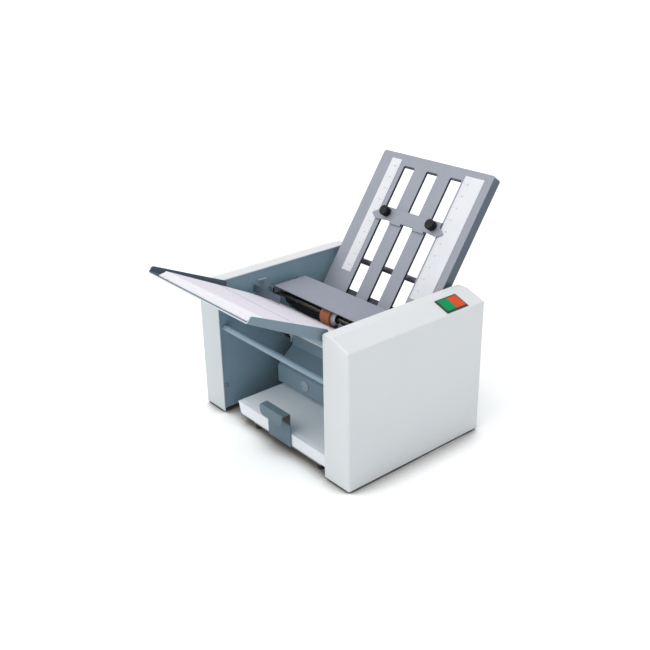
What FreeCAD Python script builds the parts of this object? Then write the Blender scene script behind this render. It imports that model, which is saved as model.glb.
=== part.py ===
import FreeCAD, Part
import math
import os

# Desk-top buckle folding machine for letters. Millimetres.
# While it is built: x runs across the machine from its middle, y runs back from the covers'
# front, z runs up from the table. place_origin() then puts the origin at the bottom centre
# of the whole machine.

V = FreeCAD.Vector
AXIS_X = V(1, 0, 0)

# ---- clearances ----
running_fit = 0.05        # radial, shaft in bush
air_gap = 0.3             # between curved faces on different bodies
slide_gap = 0.2           # between flat faces that slide
plate_seat = 0.5          # side plate inside its cover

# ---- side covers ----
bay_half = 127.5          # from the middle to a cover's inner edge
cover_width = 52.5
cover_depth = 270.0
cover_top = 231.5
cover_bottom = 4.0
cover_level = 18.5        # level part of the top, from the inner edge outwards
cover_drop = 12.5         # fall of the sloped shoulder
cover_sheet = 1.5
cover_round = 3.0         # outside radius of the cover's bends
tab_size = 12.0           # screw tabs inside the cover
tab_thick = 2.0

# ---- side plates ----
plate_recess = 2.0        # side plate stands this far inside the cover's inner edge
frame_sheet = 3.0
flange_width = 42.0       # foot flange of the side plate
flange_lift = 6.0         # underside of that flange above the table

# ---- screws and feet ----
screw_radius = 2.0
screw_head_radius = 3.8
screw_head = 1.8
cover_screw_inset = 8.0   # screws from the cover's front and rear
cover_screw_low = 48.0
cover_screw_high = 190.0
guide_screw_ahead = 29.0  # in front of the feed roller's axis
guide_screw_height = 208.0
guide_ear = (1.0, 6.0, 8.0, 5.0)            # round that screw: in front, behind, below, above
foot_radius = 9.0
foot_inset = 22.0         # feet from the cover's front and rear

# ---- rods and bars ----
rod_radius = 5.0
front_rod = (12.0, 151.0)
tray_rod_y = 30.0
lower_bar_ahead = 8.5     # its front face in front of the covers' middle
lower_bar_size = (12.5, 12.0)
lower_bar_low = 30.0
separator_bar_ahead = 38.5   # its front face in front of the first fold roller's axis
separator_bar_size = (14.0, 14.0)
separator_bar_low = 104.0
channel_depth = 16.0
channel_inset = 8.0       # channel from the covers' rear
channel_low = 9.0
channel_top = 27.0
channel_sheet = 2.0
rear_cover_inset = 6.0
rear_cover_low = 30.0
rear_cover_top = 150.0
rear_window = (75.0, 40.0, 100.0)           # half width, z from, z to

# ---- feed tray and paper ----
tray_angle = 27.5
tray_tip = (-117.5, 279.5)
tray_gap = 7.5            # between the tray and each side plate
tray_sheet = 1.5
tray_bend = 3.0
tray_flange_end = 8.0
tray_flange_front = 11.0  # flange height at the front, square to the floor
tray_flange_rear = 19.0
tray_corner = 5.0
tray_bow = 12.0           # radius where the floor turns down into the machine
paper_side_gap = 14.0     # between the sheets and the tray's edges
stack_height = 9.5
stack_front = 10.0        # paper edge behind the tray's lip, along the floor
stack_bend_y = 50.0
stud_radius = 3.0
stud_spot = (4.8, 224.5)

# ---- feed roller ----
feed_ahead = 19.0         # its axis in front of the covers' middle
feed_height = 185.5
feed_radius = 16.0
feed_core_radius = 12.0
feed_width = 21.0
feed_centre = 10.0        # middle of the wheel, across the machine
hub_radius = 9.0
hub_width = 6.0
shaft_radius = 4.0
paper_gap = 0.4           # wheel above the top sheet

# ---- inlet guides ----
guide_ahead = 48.0        # its lower edge in front of the feed roller's axis
guide_lift = 3.3          # and above the top sheet
guide_reach = (2.5, 11.5)
guide_sheet = 1.2
guide_left_edge = -58.0
guide_right_edge = 79.0

# ---- roller cover ----
lid_gap = 15.5            # between the roller cover and each side plate
lid_ahead = 16.0          # its front edge in front of the feed roller's axis
lid_length = 64.0
lid_rise = 1.0            # its underside above the feed wheel
lid_sheet = 1.5
lid_flange = 13.0
standoff_radius = 3.0
standoff_drop = 8.0

# ---- throat guide: the dark sheet behind the feed wheel, down towards the first nip ----
throat_gap = 2.5          # behind the wheel
throat_top_gap = 1.0      # below the roller cover's side flanges
throat_drop = 22.5        # its bend below the feed roller's axis
throat_clear = 6.0        # its end from the first fold roller
throat_end_angle = 158.0  # round that roller
throat_sheet = 1.2

# ---- upper fold plate: s runs down from its top edge, h stands out from its face ----
plate_angle = 55.5
plate_lean = 79.0         # its top edge behind the covers' rear
plate_top_height = 382.5
plate_gap = 9.5           # between the fold plate and each side plate
plate_sheet = 1.5
plate_depth = 17.0
plate_flange_end = -270.0
plate_end = -290.0
plate_corner = 5.0
pocket_gap = 2.0
back_sheet = 1.2
slot_centres = (-50.0, 1.0, 52.0)
slot_width = 24.5
slot_top = -19.0
slot_bottom = -252.0
rib_spots = ((-14.0, -4.0), (-248.0, -236.0))
rib_end = -16.0
spacer_width = 6.5
strip_thick = 0.5
strip_left = (-94.0, -72.0, -215.0, -10.5)
strip_right = (68.0, 105.6, -262.0, -11.0)
rest_rod_inset = 9.3        # its axis in front of the covers' rear
hook_rod_radius = 4.0
hook_rod_drop = 10.0       # its axis below the plate's face

# ---- fold stop ----
stop_top = -92.5
stop_bottom = -114.0
stop_left = -70.0
stop_right = 66.0
stop_tip_left = -82.0
stop_tip_right = 77.0
stop_tip_s = -109.0
stop_tip_half = 8.0
stop_tab = 4.0
stop_sheet = 2.0
stop_lift = 0.7
blade_gap = 12.0          # at each end of the blade, inside the plate's spacers
blade_thick = 1.6
knob_s = -102.0
boss_radius = 7.0
stud_bolt_radius = 2.5
nut_half = 17.0
nut_thick = 3.0
knob_radius = 8.3
knob_height = 12.0
knob_collar_radius = 6.0
knob_collar = 1.2
knob_flutes = 12
flute_radius = 1.3

# ---- fold rollers ----
roller_pitch = 30.0       # between the centres of meshing rollers
nip_gap = 0.3             # between their rubber
roller_end_gap = 5.5      # between the rubber and each side plate
groove_width = 4.0
groove_depth = 1.0
nip_s = -304.0
third_roller_angle = 20.0
fourth_roller_angle = -100.0
bush_radius = 6.0
bush_flange_radius = 8.0
bush_flange = 1.5

# ---- gears, pulleys, belts ----
gear_teeth = 20
gear_width = 6.0
gear_backlash = 0.25
pressure_angle = 20.0
gear_gap = 1.0            # gear from the side plate
drive_gap = 2.6           # drive pulley from the side plate, clear of the screw heads
belt_thick = 1.6
belt_width = 7.0
pulley_lip = 1.5
feed_pulley_radius = 14.0
roller_pulley_radius = 10.0
drive_pulley_radius = 24.0
motor_pulley_radius = 8.0
motor_ahead = 40.0        # its axis in front of the covers' middle
motor_gap = 1.0           # bracket above the side plate's flange
motor_radius = 32.0
motor_length = 26.0
motor_shaft_radius = 3.0
bracket_gap = 15.5        # bracket from the side plate
bracket_sheet = 2.0
bracket_size = 76.0
bracket_post_radius = 4.0

# ---- separator ----
pad_angle = -95.0         # where the pad meets the wheel, round its axis
pad_length = 14.0
pad_width = 22.0
pad_thick = 3.0
pivot_inset = 3.0         # pivot in front of the bar's rear face
pivot_lift = 16.0         # and above its top
arm_width = 20.0
arm_thick = 3.0
arm_pin_radius = 2.0
lug_thick = 3.0
lug_size = 12.0
spring_inset = 3.6        # its axis behind the bar's front face
spring_radius = 2.8
spring_wire = 0.45        # its radius
spring_turns = 6

# ---- lower fold plate: s runs down from the second nip ----
lower_gap = 17.5          # between the lower plate and each side plate
lower_spacer = 6.0
lower_blade_gap = 6.0
lower_start = -14.0
lower_end = -98.0
lower_slots = (-50.0, 50.0)
lower_slot_width = 12.0
lower_slot_top = -30.0
lower_stop_top = -80.0
lower_stop_bottom = -92.0
lower_boss_radius = 4.0
lower_screw_radius = 6.0
lower_screw_head = 8.0
lower_clamp_thick = 2.0
lower_clamp_gap = 0.5      # below the lower plate
lower_clamp_inset = 44.8   # its ends inside the plate's
lower_ear_rise = 4.0       # lower ears above the plate's end
ear_height = 10.0

# ---- exit chute and slide ----
chute_gap = 25.5          # between the chute and each side plate
chute_step = 32.0         # its lower face in front of its upper edge
chute_lift = 3.0          # its lower edge above the letters
chute_bend_z = 67.0
chute_knee_z = 93.5
chute_top = 112.0
chute_sheet = 1.5
cap_spot = (-33.0, 54.0)
cap_radius = 9.5
cap_height = 1.6
slide_reach = (18.0, 6.5) # its upper edge, ahead of and below the fourth roller's axis
slide_foot_ahead = 17.0   # where it levels out, in front of the covers' middle
slide_foot_z = 37.5
slide_end_reach = (8.0, 2.0)
slide_rib = 8.0

# ---- exit tray, folded letters, exit stop ----
pile_left_gap = 34.5      # between the letters and each side plate
pile_right_gap = 8.5
pile_front = 6.0
pile_depth = 93.0
pile_top = 34.0
pile_slant = 9.0
exit_left_inset = 35.0    # tray's edges inside the pile's
exit_right_inset = 15.0
exit_front = 10.0
exit_low = 8.0
exit_sheet = 2.0
exit_hook = 36.0
runner_width = 10.0
tray_foot_radius = 6.0
stop_centre = 15.0
hook_width = 55.0
hook_leg_half = 15.0
hook_leg_end = 80.0
hook_sheet = 1.5
hook_plate_y = 4.0
hook_top = 68.5
hook_reach = 13.5
hook_lip = 15.5
hook_corner = 10.0
hook_bend = 1.5

# ---- switch ----
switch_y = 215.0
switch_length = 44.0
switch_width = 29.0
bezel_lip = 1.5
bezel_rim = 2.5
bezel_wall = 1.2
bezel_deep = 16.0
button_proud = 2.5
button_deep = 4.0

# ---- power inlet and control board ----
inlet_inset = 22.0        # its middle from the cover's outer face
inlet_z = 42.0
inlet_width = 27.0
inlet_height = 20.0
inlet_deep = 18.0
inlet_lip = 3.0
board_box = (30.0, 130.0, 128.0, 204.0)
board_stand = 6.0
board_thick = 1.6
board_post_inset = 5.0
board_post_radius = 2.5
board_blocks = ((20.0, 48.0, 16.0, 40.0, 12.0), (20.0, 80.0, 52.0, 60.0, 8.0))
board_can = (70.0, 30.0, 9.0, 24.0)         # y, z, radius, height

# ---- values that follow ----
middle_y = cover_depth / 2
panel_in = bay_half + plate_recess
panel_out = panel_in + frame_sheet
cover_out = bay_half + cover_width
tray_half = panel_in - tray_gap
lid_half = panel_in - lid_gap
plate_half = panel_in - plate_gap
roller_half = panel_in - roller_end_gap
lower_half = panel_in - lower_gap
chute_half = panel_in - chute_gap
inlet_x = cover_out - inlet_inset
paper_half = tray_half - paper_side_gap
blade_half = plate_half - plate_sheet - spacer_width - blade_gap
roller_radius = (roller_pitch - nip_gap) / 2
feed_axis = (middle_y - feed_ahead, feed_height)
guide_screw_spot = (feed_axis[0] - guide_screw_ahead, guide_screw_height)
motor_axis = (middle_y - motor_ahead,
              flange_lift + frame_sheet + bracket_size / math.sqrt(2) + motor_gap)
lid_front = feed_axis[0] - lid_ahead
lid_top = feed_axis[1] + feed_radius + lid_rise + lid_sheet
lid_rear = lid_front + lid_length
lower_bar_front = middle_y - lower_bar_ahead
lower_bar = (lower_bar_front, lower_bar_front + lower_bar_size[0], lower_bar_low,
             lower_bar_low + lower_bar_size[1])
slide_foot = (middle_y - slide_foot_ahead, slide_foot_z)
slide_end = (slide_foot[0] - slide_end_reach[0], slide_foot[1] - slide_end_reach[1])
pile_left = -panel_in + pile_left_gap
pile_right = panel_in - pile_right_gap
exit_left = pile_left + exit_left_inset
exit_right = pile_right - exit_right_inset
lower_blade_half = lower_half - lower_spacer - lower_blade_gap
rear_cover_y = cover_depth - rear_cover_inset
channel_rear = cover_depth - channel_inset
channel_box = (channel_rear - channel_depth, channel_rear, channel_low, channel_top)
rear_screw_y = cover_depth - cover_screw_inset
cover_screw_spots = ((cover_screw_inset, cover_screw_low), (rear_screw_y, cover_screw_low),
                     (rear_screw_y, cover_screw_high))
plate_top = (cover_depth + plate_lean, plate_top_height)
shoulder = math.atan2(cover_drop, cover_width - cover_level)
tray_slope = math.radians(tray_angle)
plate_slope = math.radians(plate_angle)
stack_full = tray_sheet + stack_height
up_plate = (math.cos(plate_slope), math.sin(plate_slope))
out_plate = (-math.sin(plate_slope), math.cos(plate_slope))


def plate_point(s, h):
    y = plate_top[0] + s * up_plate[0] + h * out_plate[0]
    z = plate_top[1] + s * up_plate[1] + h * out_plate[1]
    return (y, z)


def polar(centre, radius, angle):
    turn = math.radians(angle)
    return (centre[0] + radius * math.cos(turn), centre[1] + radius * math.sin(turn))


pocket_middle = -plate_sheet - pocket_gap / 2
nip = plate_point(nip_s, pocket_middle)
roller_1 = polar(nip, roller_pitch / 2, plate_angle + 90)
roller_2 = polar(nip, roller_pitch / 2, plate_angle - 90)
roller_3 = polar(roller_2, roller_pitch, third_roller_angle)
roller_4 = polar(roller_2, roller_pitch, fourth_roller_angle)
rollers = (roller_1, roller_2, roller_3, roller_4)
second_nip = polar(roller_2, roller_pitch / 2, third_roller_angle)
lower_slope = third_roller_angle + 90
rest_rod_h = -plate_depth - air_gap - rod_radius
rest_rod_s = (cover_depth - rest_rod_inset - plate_point(0, rest_rod_h)[0]) / up_plate[0]
rest_rod = plate_point(rest_rod_s, rest_rod_h)
separator_front = roller_1[0] - separator_bar_ahead
separator_bar_box = (separator_front, separator_front + separator_bar_size[0], separator_bar_low,
                     separator_bar_low + separator_bar_size[1])
arm_pivot = (separator_bar_box[1] - pivot_inset, separator_bar_box[3] + pivot_lift)
spring_y = separator_front + spring_inset
chute_high = (separator_front - chute_sheet, chute_knee_z)
chute_front = chute_high[0] - chute_step
chute_low = pile_top + chute_lift
slide_start = (roller_4[0] - slide_reach[0], roller_4[1] - slide_reach[1])
pile_low = exit_low + exit_sheet + hook_sheet + slide_gap
hook_rod = plate_point(plate_flange_end - air_gap - hook_rod_radius, -hook_rod_drop)
gear_x = panel_out + gear_gap
pulley_x = gear_x + gear_width + 2.5
drive_x = panel_out + drive_gap
pad_point = polar(feed_axis, feed_radius + air_gap, pad_angle)


# ---- shape helpers ----
def box(x0, x1, y0, y1, z0, z1):
    return Part.makeBox(x1 - x0, y1 - y0, z1 - z0, V(x0, y0, z0))


def rod(x0, x1, spot, radius):
    return Part.makeCylinder(radius, x1 - x0, V(x0, spot[0], spot[1]), AXIS_X)


def tube(x0, x1, spot, radius, bore):
    return rod(x0, x1, spot, radius).cut(rod(x0 - 1, x1 + 1, spot, bore))


def prism(points, x0, x1):
    corners = [V(x0, y, z) for y, z in points]
    return Part.Face(Part.makePolygon(corners + corners[:1])).extrude(V(x1 - x0, 0, 0))


def mirrored(shape):
    return shape.mirror(V(0, 0, 0), AXIS_X)


def join(shapes):
    return shapes[0].fuse(shapes[1:]).removeSplitter() if len(shapes) > 1 else shapes[0]


def group(shapes):
    solids = []
    for shape in shapes:
        solids.extend(shape.Solids)
    return Part.makeCompound(solids)


def rounded(shape, radius, wanted):
    edges = [edge for edge in shape.Edges if wanted(edge)]
    return shape.makeFillet(radius, edges) if edges else shape


def along(edge, direction):
    ends = edge.Vertexes
    if len(ends) < 2:
        return False
    way = ends[1].Point.sub(ends[0].Point)
    return way.Length > 0 and abs(abs(way.normalize().dot(direction)) - 1) < 1e-6


def bent_sheet(points, thick, bend, x0, x1):
    # A sheet whose face follows the points in (y, z), with its thickness to the left of travel.
    near, far = [], []
    last = len(points) - 1
    ways = []
    for start, end in zip(points, points[1:]):
        length = math.hypot(end[0] - start[0], end[1] - start[1])
        ways.append(((end[0] - start[0]) / length, (end[1] - start[1]) / length))
    near.append((points[0],))
    far.append(((points[0][0] - thick * ways[0][1], points[0][1] + thick * ways[0][0]),))
    for i in range(1, last):
        before, after = ways[i - 1], ways[i]
        cross = before[0] * after[1] - before[1] * after[0]
        turn = math.atan2(cross, before[0] * after[0] + before[1] * after[1])
        side = 1 if turn > 0 else -1
        inner = bend + thick if side > 0 else bend
        reach = inner * math.tan(abs(turn) / 2)
        corner = points[i]
        first = (corner[0] - reach * before[0], corner[1] - reach * before[1])
        second = (corner[0] + reach * after[0], corner[1] + reach * after[1])
        middle = (first[0] - side * inner * before[1], first[1] + side * inner * before[0])
        outward = math.hypot(corner[0] - middle[0], corner[1] - middle[1])
        ray = ((corner[0] - middle[0]) / outward, (corner[1] - middle[1]) / outward)
        other = inner - side * thick
        near.append((first, (middle[0] + inner * ray[0], middle[1] + inner * ray[1]), second))
        far.append((
            (first[0] - thick * before[1], first[1] + thick * before[0]),
            (middle[0] + other * ray[0], middle[1] + other * ray[1]),
            (second[0] - thick * after[1], second[1] + thick * after[0]),
        ))
    near.append((points[last],))
    far.append(((points[last][0] - thick * ways[-1][1], points[last][1] + thick * ways[-1][0]),))
    stops = near + [tuple(reversed(stop)) for stop in reversed(far)]
    edges = []
    for here, following in zip(stops, stops[1:] + stops[:1]):
        if len(here) == 3:
            edges.append(Part.Arc(*[V(x0, y, z) for y, z in here]).toShape())
        start, end = V(x0, *here[-1]), V(x0, *following[0])
        if start.distanceToPoint(end) > 1e-6:
            edges.append(Part.LineSegment(start, end).toShape())
    return Part.Face(Part.Wire(edges)).extrude(V(x1 - x0, 0, 0))


def on_plate(shape):
    shape.rotate(V(0, 0, 0), AXIS_X, plate_angle)
    shape.translate(V(0, *plate_top))
    return shape


def on_lower_plate(shape):
    shape.rotate(V(0, 0, 0), AXIS_X, lower_slope)
    shape.translate(V(0, *second_nip))
    return shape


def on_shoulder(shape):
    # local x lies across the sloped shoulder, local z stands square to it
    middle_x = bay_half + (cover_level + cover_width) / 2
    shape.rotate(V(0, 0, 0), V(0, 1, 0), math.degrees(shoulder))
    shape.translate(V(middle_x, switch_y, cover_top - cover_drop / 2))
    return shape


# ---- casing ----
def cover_block(inset, radius):
    # the cover's outline in (x, z), drawn in by inset on every walled side
    outer_x = cover_out - inset
    top = cover_top - inset
    knee_x = bay_half + cover_level - inset * math.tan(shoulder / 2)
    fall = (inset + (outer_x - bay_half - cover_level) * math.sin(shoulder)) / math.cos(shoulder)
    low = cover_bottom - (1 if inset else 0)
    inner_x = bay_half - (1 if inset else 0)
    outline = [(inner_x, low), (outer_x, low), (outer_x, cover_top - fall), (knee_x, top),
               (inner_x, top)]
    corners = [V(x, inset, z) for x, z in outline]
    face = Part.Face(Part.makePolygon(corners + corners[:1]))
    block = face.extrude(V(0, cover_depth - 2 * inset, 0))

    def wanted(edge):
        middle = edge.CenterOfMass
        return middle.x > inner_x + 0.1 and middle.z > low + 0.1
    return rounded(block, radius, wanted)


def cover_tabs():
    tabs = []
    wall = cover_sheet / 2
    for y, z in cover_screw_spots:
        near_front = y < cover_depth / 2
        y0 = wall if near_front else y - tab_size / 2
        y1 = y + tab_size / 2 if near_front else cover_depth - wall
        tabs.append(box(panel_out, panel_out + tab_thick, y0, y1, z - tab_size / 2, z + tab_size / 2))
    y, z = guide_screw_spot
    tabs.append(box(panel_out, panel_out + tab_thick, y - tab_size / 2, y + tab_size / 2,
                    z - tab_size / 2, cover_top - wall))
    return tabs


def make_cover():
    shell = cover_block(0, cover_round).cut(cover_block(cover_sheet, cover_round - cover_sheet))
    shell = join([shell] + cover_tabs())
    holes = [rod(panel_in, panel_out + tab_thick + 1, spot, screw_radius)
             for spot in cover_screw_spots + (guide_screw_spot,)]
    return shell.cut(holes)


def make_covers():
    parts["left_cover"] = mirrored(make_cover())
    body_a = switch_width / 2 - bezel_lip
    body_b = switch_length / 2 - bezel_lip
    switch_hole = on_shoulder(box(-body_a - slide_gap, body_a + slide_gap, -body_b - slide_gap,
                                  body_b + slide_gap, -bezel_deep - 5, 5))
    inlet_hole = box(inlet_x - inlet_width / 2, inlet_x + inlet_width / 2, cover_depth - 5,
                     cover_depth + 5, inlet_z - inlet_height / 2, inlet_z + inlet_height / 2)
    parts["right_cover"] = make_cover().cut([switch_hole, inlet_hole])


def rod_spots():
    return [front_rod, tray_rod(), rest_rod, hook_rod]


def bar_screw_spots():
    spots = []
    for y0, y1, z0, z1 in (lower_bar, separator_bar_box):
        spots.append(((y0 + y1) / 2, (z0 + z1) / 2))
    spots.append(((channel_box[0] + channel_box[1]) / 2, channel_box[3] - 6))
    return spots


def foot_spots():
    middle = panel_out + (cover_out - cover_sheet - panel_out) / 2
    return [(middle, foot_inset), (middle, cover_depth - foot_inset)]


def make_side_plates():
    seat = cover_sheet + plate_seat
    wall = box(panel_in, panel_out, seat, cover_depth - seat, flange_lift, cover_top - seat)
    flange = box(panel_in, panel_out + flange_width, seat + 2, cover_depth - seat - 2,
                 flange_lift, flange_lift + frame_sheet)
    plate = join([wall, flange])
    plate = rounded(plate, frame_sheet, lambda e: along(e, V(0, 1, 0))
                    and abs(e.CenterOfMass.x - panel_in) < 0.1 and e.CenterOfMass.z < 10)
    holes = [rod(panel_in - 5, panel_out + 5, spot, bush_radius)
             for spot in rollers + (feed_axis,)]
    holes += [rod(panel_in - 1, panel_out + 1, spot, screw_radius)
              for spot in cover_screw_spots + (guide_screw_spot,)]
    holes += [rod(panel_in - 1, panel_out + 1, spot, screw_radius)
              for spot in rod_spots() + bar_screw_spots()]
    for x, y in foot_spots():
        holes.append(Part.makeCylinder(foot_radius / 3, 20, V(x, y, 0)))
    parts["right_side_plate"] = plate.cut(holes)
    parts["left_side_plate"] = mirrored(parts["right_side_plate"])


def screw(x_seat, spot, length, inward):
    # head on the seat, shank away from it; inward says that the head lies on the bay side
    if inward:
        head = rod(x_seat - screw_head, x_seat, spot, screw_head_radius)
        head = rounded(head, screw_head * 0.6, lambda e: abs(e.CenterOfMass.x - x_seat) > 1)
        shank = rod(x_seat, x_seat + length, spot, screw_radius)
        drive = Part.makeBox(1, 1.2, 4.4, V(x_seat - screw_head - 0.3, spot[0] - 0.6, spot[1] - 2.2))
        return join([head, shank]).cut(drive)
    head = rod(x_seat, x_seat + screw_head, spot, screw_head_radius)
    return join([head, rod(x_seat - length, x_seat, spot, screw_radius)])


def make_screws():
    screws = []
    for spot in cover_screw_spots:
        screws.append(screw(panel_in, spot, frame_sheet + tab_thick, True))
    guide_seat = panel_in - guide_sheet
    screws.append(screw(guide_seat, guide_screw_spot, frame_sheet + tab_thick + guide_sheet, True))
    for spot in rod_spots() + bar_screw_spots():
        screws.append(screw(panel_out, spot, frame_sheet, False))
    parts["frame_screws"] = group(screws + [mirrored(one) for one in screws])


def make_feet():
    feet = []
    for x, y in foot_spots():
        pad = Part.makeCylinder(foot_radius, flange_lift, V(x, y, 0))
        pad = rounded(pad, 1.0, lambda e: e.CenterOfMass.z < 1)
        neck = Part.makeCylinder(foot_radius / 3, frame_sheet, V(x, y, flange_lift))
        head = Part.makeCylinder(foot_radius / 2, 1.5, V(x, y, flange_lift + frame_sheet))
        one = join([pad, neck, head])
        feet += [one, mirrored(one)]
    for x in (exit_left + tray_foot_radius, exit_right - tray_foot_radius):
        for y in (exit_front + tray_foot_radius, lower_bar[0] - 4 * tray_foot_radius):
            feet.append(Part.makeCylinder(tray_foot_radius, exit_low, V(x, y, 0)))
    parts["rubber_feet"] = group(feet)


# ---- rods and bars ----
def tray_line(distance, lift):
    # a point on the tray's flat floor: distance from its tip, lift above its underside
    y = tray_tip[0] + distance * math.cos(tray_slope) + lift * math.sin(tray_slope)
    z = tray_tip[1] - distance * math.sin(tray_slope) + lift * math.cos(tray_slope)
    return (y, z)


def tray_rod():
    return tray_line((tray_rod_y - tray_tip[0]) / math.cos(tray_slope), -rod_radius - running_fit)


def make_rods():
    parts["cross_rods"] = group([rod(-panel_in, panel_in, spot, rod_radius)
                                 for spot in (front_rod, tray_rod())])
    parts["rest_rods"] = group([rod(-panel_in, panel_in, rest_rod, rod_radius),
                                rod(-panel_in, panel_in, hook_rod, hook_rod_radius)])
    y0, y1, z0, z1 = lower_bar
    parts["lower_cross_bar"] = box(-panel_in, panel_in, y0, y1, z0, z1)
    y0, y1, z0, z1 = channel_box
    outer = box(-panel_in, panel_in, y0, y1, z0, z1)
    inner = box(-panel_in + channel_sheet, panel_in - channel_sheet, y0 + channel_sheet,
                y1 - channel_sheet, z0 - 1, z1 - channel_sheet)
    parts["rear_channel"] = outer.cut(inner)


def make_rear_cover():
    half = panel_in
    edge = 8.0
    y0, y1 = rear_cover_y, rear_cover_y + cover_sheet
    panel = box(-half, half, y0, y1, rear_cover_low, rear_cover_top)
    folds = [box(side - cover_sheet / 2, side + cover_sheet / 2, y0 - edge, y1, rear_cover_low,
                 rear_cover_top) for side in (-half + cover_sheet / 2, half - cover_sheet / 2)]
    top = box(-half, half, y0 - edge, y1, rear_cover_top - cover_sheet, rear_cover_top)
    window = box(-rear_window[0], rear_window[0], y0 - 1, y1 + 1, rear_window[1], rear_window[2])
    vents = [box(x - 1.5, x + 1.5, y0 - 1, y1 + 1, rear_window[2] + 12, rear_cover_top - 14)
             for x in range(-90, 91, 12)]
    z = cover_screw_spots[1][1]
    reach = screw_head_radius + 2
    notch = [box(side * half - 3, side * half + 3, y0 - edge - 1, y1 + 1, z - reach, z + reach)
             for side in (-1, 1)]
    parts["rear_cover"] = join([panel, top] + folds).cut([window] + vents + notch)


def make_throat():
    y = feed_axis[0] + feed_radius + throat_gap
    top = (y, lid_top - lid_flange - throat_top_gap)
    end = polar(roller_1, roller_radius + throat_clear, throat_end_angle)
    parts["throat_guide"] = bent_sheet([top, (y, feed_axis[1] - throat_drop), end], throat_sheet,
                                       2.0, -panel_in, panel_in)


def make_lid():
    sheet = box(-lid_half, lid_half, lid_front, lid_rear, lid_top - lid_flange, lid_top)
    hollow = box(-lid_half + lid_sheet, lid_half - lid_sheet, lid_front - 1, lid_rear + 1,
                 lid_top - lid_flange - 1, lid_top - lid_sheet)
    sheet = rounded(sheet, 2.0, lambda e: along(e, V(0, 1, 0)) and e.CenterOfMass.z > lid_top - 1)
    lid = sheet.cut(hollow)
    lip_z = lid_top - lid_sheet - 2.5
    lip = box(-lid_half + lid_sheet, lid_half - lid_sheet, lid_rear - lid_sheet, lid_rear, lip_z,
              lid_top - lid_sheet)
    parts["roller_cover"] = join([lid, lip])


def make_hanger_pins():
    # two studs carry the feed tray, four standoffs the roller cover
    stud = join([rod(tray_half, panel_in, stud_spot, stud_radius),
                 rod(tray_half - tray_sheet, tray_half, stud_spot, stud_radius - 1)])
    pins = [stud, mirrored(stud)]
    z = lid_top - standoff_drop
    for y in (lid_front + 4, lid_rear - 4):
        one = rod(lid_half, panel_in, (y, z), standoff_radius)
        pins += [one, mirrored(one)]
    parts["hanger_pins"] = group(pins)


def make_guides():
    guide_y = feed_axis[0] - guide_ahead
    corner, ramp, run = tray_bend_point(stack_full)
    guide_low = (guide_y, corner[1] - (guide_y - corner[0]) * math.tan(ramp) + guide_lift)
    guide_high = (guide_low[0] + guide_reach[0], guide_low[1] + guide_reach[1])
    plates = []
    for x0, x1, side in ((-panel_in, guide_left_edge, -1), (guide_right_edge, panel_in, 1)):
        sheet = bent_sheet([guide_high, guide_low], guide_sheet, 1, x0, x1)
        wall = side * panel_in
        y, z = guide_screw_spot
        ear = box(min(wall, wall - side * guide_sheet), max(wall, wall - side * guide_sheet),
                  guide_low[0] + guide_ear[0], y + guide_ear[1], z - guide_ear[2], z + guide_ear[3])
        hole = rod(wall - 3, wall + 3, guide_screw_spot, screw_radius)
        plates.append(join([sheet, ear]).cut(hole))
    parts["inlet_guides"] = group(plates)


# ---- feed tray and paper ----
def tray_bend_point(lift):
    # the floor turns down where the top sheet's line reaches stack_bend_y; the ramp below
    # it is tangent to the feed wheel
    flat = (stack_bend_y - tray_tip[0] - stack_full * math.sin(tray_slope)) / math.cos(tray_slope)
    top = tray_line(flat, stack_full)
    reach = math.hypot(feed_axis[0] - top[0], feed_axis[1] - top[1])
    aim = math.atan2(feed_axis[1] - top[1], feed_axis[0] - top[0])
    ramp = -(aim - math.asin((feed_radius + paper_gap) / reach))
    half = (ramp - tray_slope) / 2
    depth = (stack_full - lift) / math.cos(half)
    mean = tray_slope + half
    corner = (top[0] - depth * math.sin(mean), top[1] - depth * math.cos(mean))
    run = math.sqrt(reach ** 2 - (feed_radius + paper_gap) ** 2)
    return corner, ramp, run


def tray_path(lift, start):
    corner, ramp, run = tray_bend_point(lift)
    full_run = run - 3.0 - (stack_full - lift) * math.tan((ramp - tray_slope) / 2)
    end = (corner[0] + full_run * math.cos(ramp), corner[1] - full_run * math.sin(ramp))
    return [tray_line(start, lift), corner, end]


def make_tray():
    length = (tray_flange_end - tray_tip[0]) / math.cos(tray_slope)
    outline = [tray_line(0, 0), tray_line(2.5, tray_flange_front), tray_line(length, tray_flange_rear),
               tray_line(length, 0)]
    outer = prism(outline, -tray_half, tray_half)

    def low_side(edge):
        middle = edge.CenterOfMass
        height = middle.sub(V(0, *tray_tip))
        lift = height.y * math.sin(tray_slope) + height.z * math.cos(tray_slope)
        return abs(abs(middle.x) - tray_half) < 1.6 and lift < 2 and not along(edge, AXIS_X) \
            and edge.Length > length / 2

    outer = rounded(outer, tray_bend, low_side)
    corners = [edge for edge in outer.Edges if along(edge, AXIS_X)
               and edge.CenterOfMass.z > tray_line(length, tray_flange_rear)[1] - 1
               and edge.CenterOfMass.sub(V(0, *tray_tip)).Length > tray_flange_front - 1]
    outer = outer.makeFillet(tray_corner, corners)
    room = [tray_line(-9, tray_sheet), tray_line(-9, 60), tray_line(length + 9, 60),
            tray_line(length + 9, tray_sheet)]
    inner = prism(room, -tray_half + tray_sheet, tray_half - tray_sheet)
    inner = rounded(inner, tray_bend - tray_sheet, lambda e: low_side(e) and e.Length > length)
    pan = outer.cut(inner)
    tail_start = length - 6
    tail = bent_sheet(tray_path(0, tail_start), tray_sheet, tray_bow, -tray_half + tray_bend,
                      tray_half - tray_bend)
    holes = [rod(-tray_half - 1, tray_half + 1, stud_spot, stud_radius - 1)]
    parts["feed_tray"] = join([pan, tail]).cut(holes)


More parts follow.
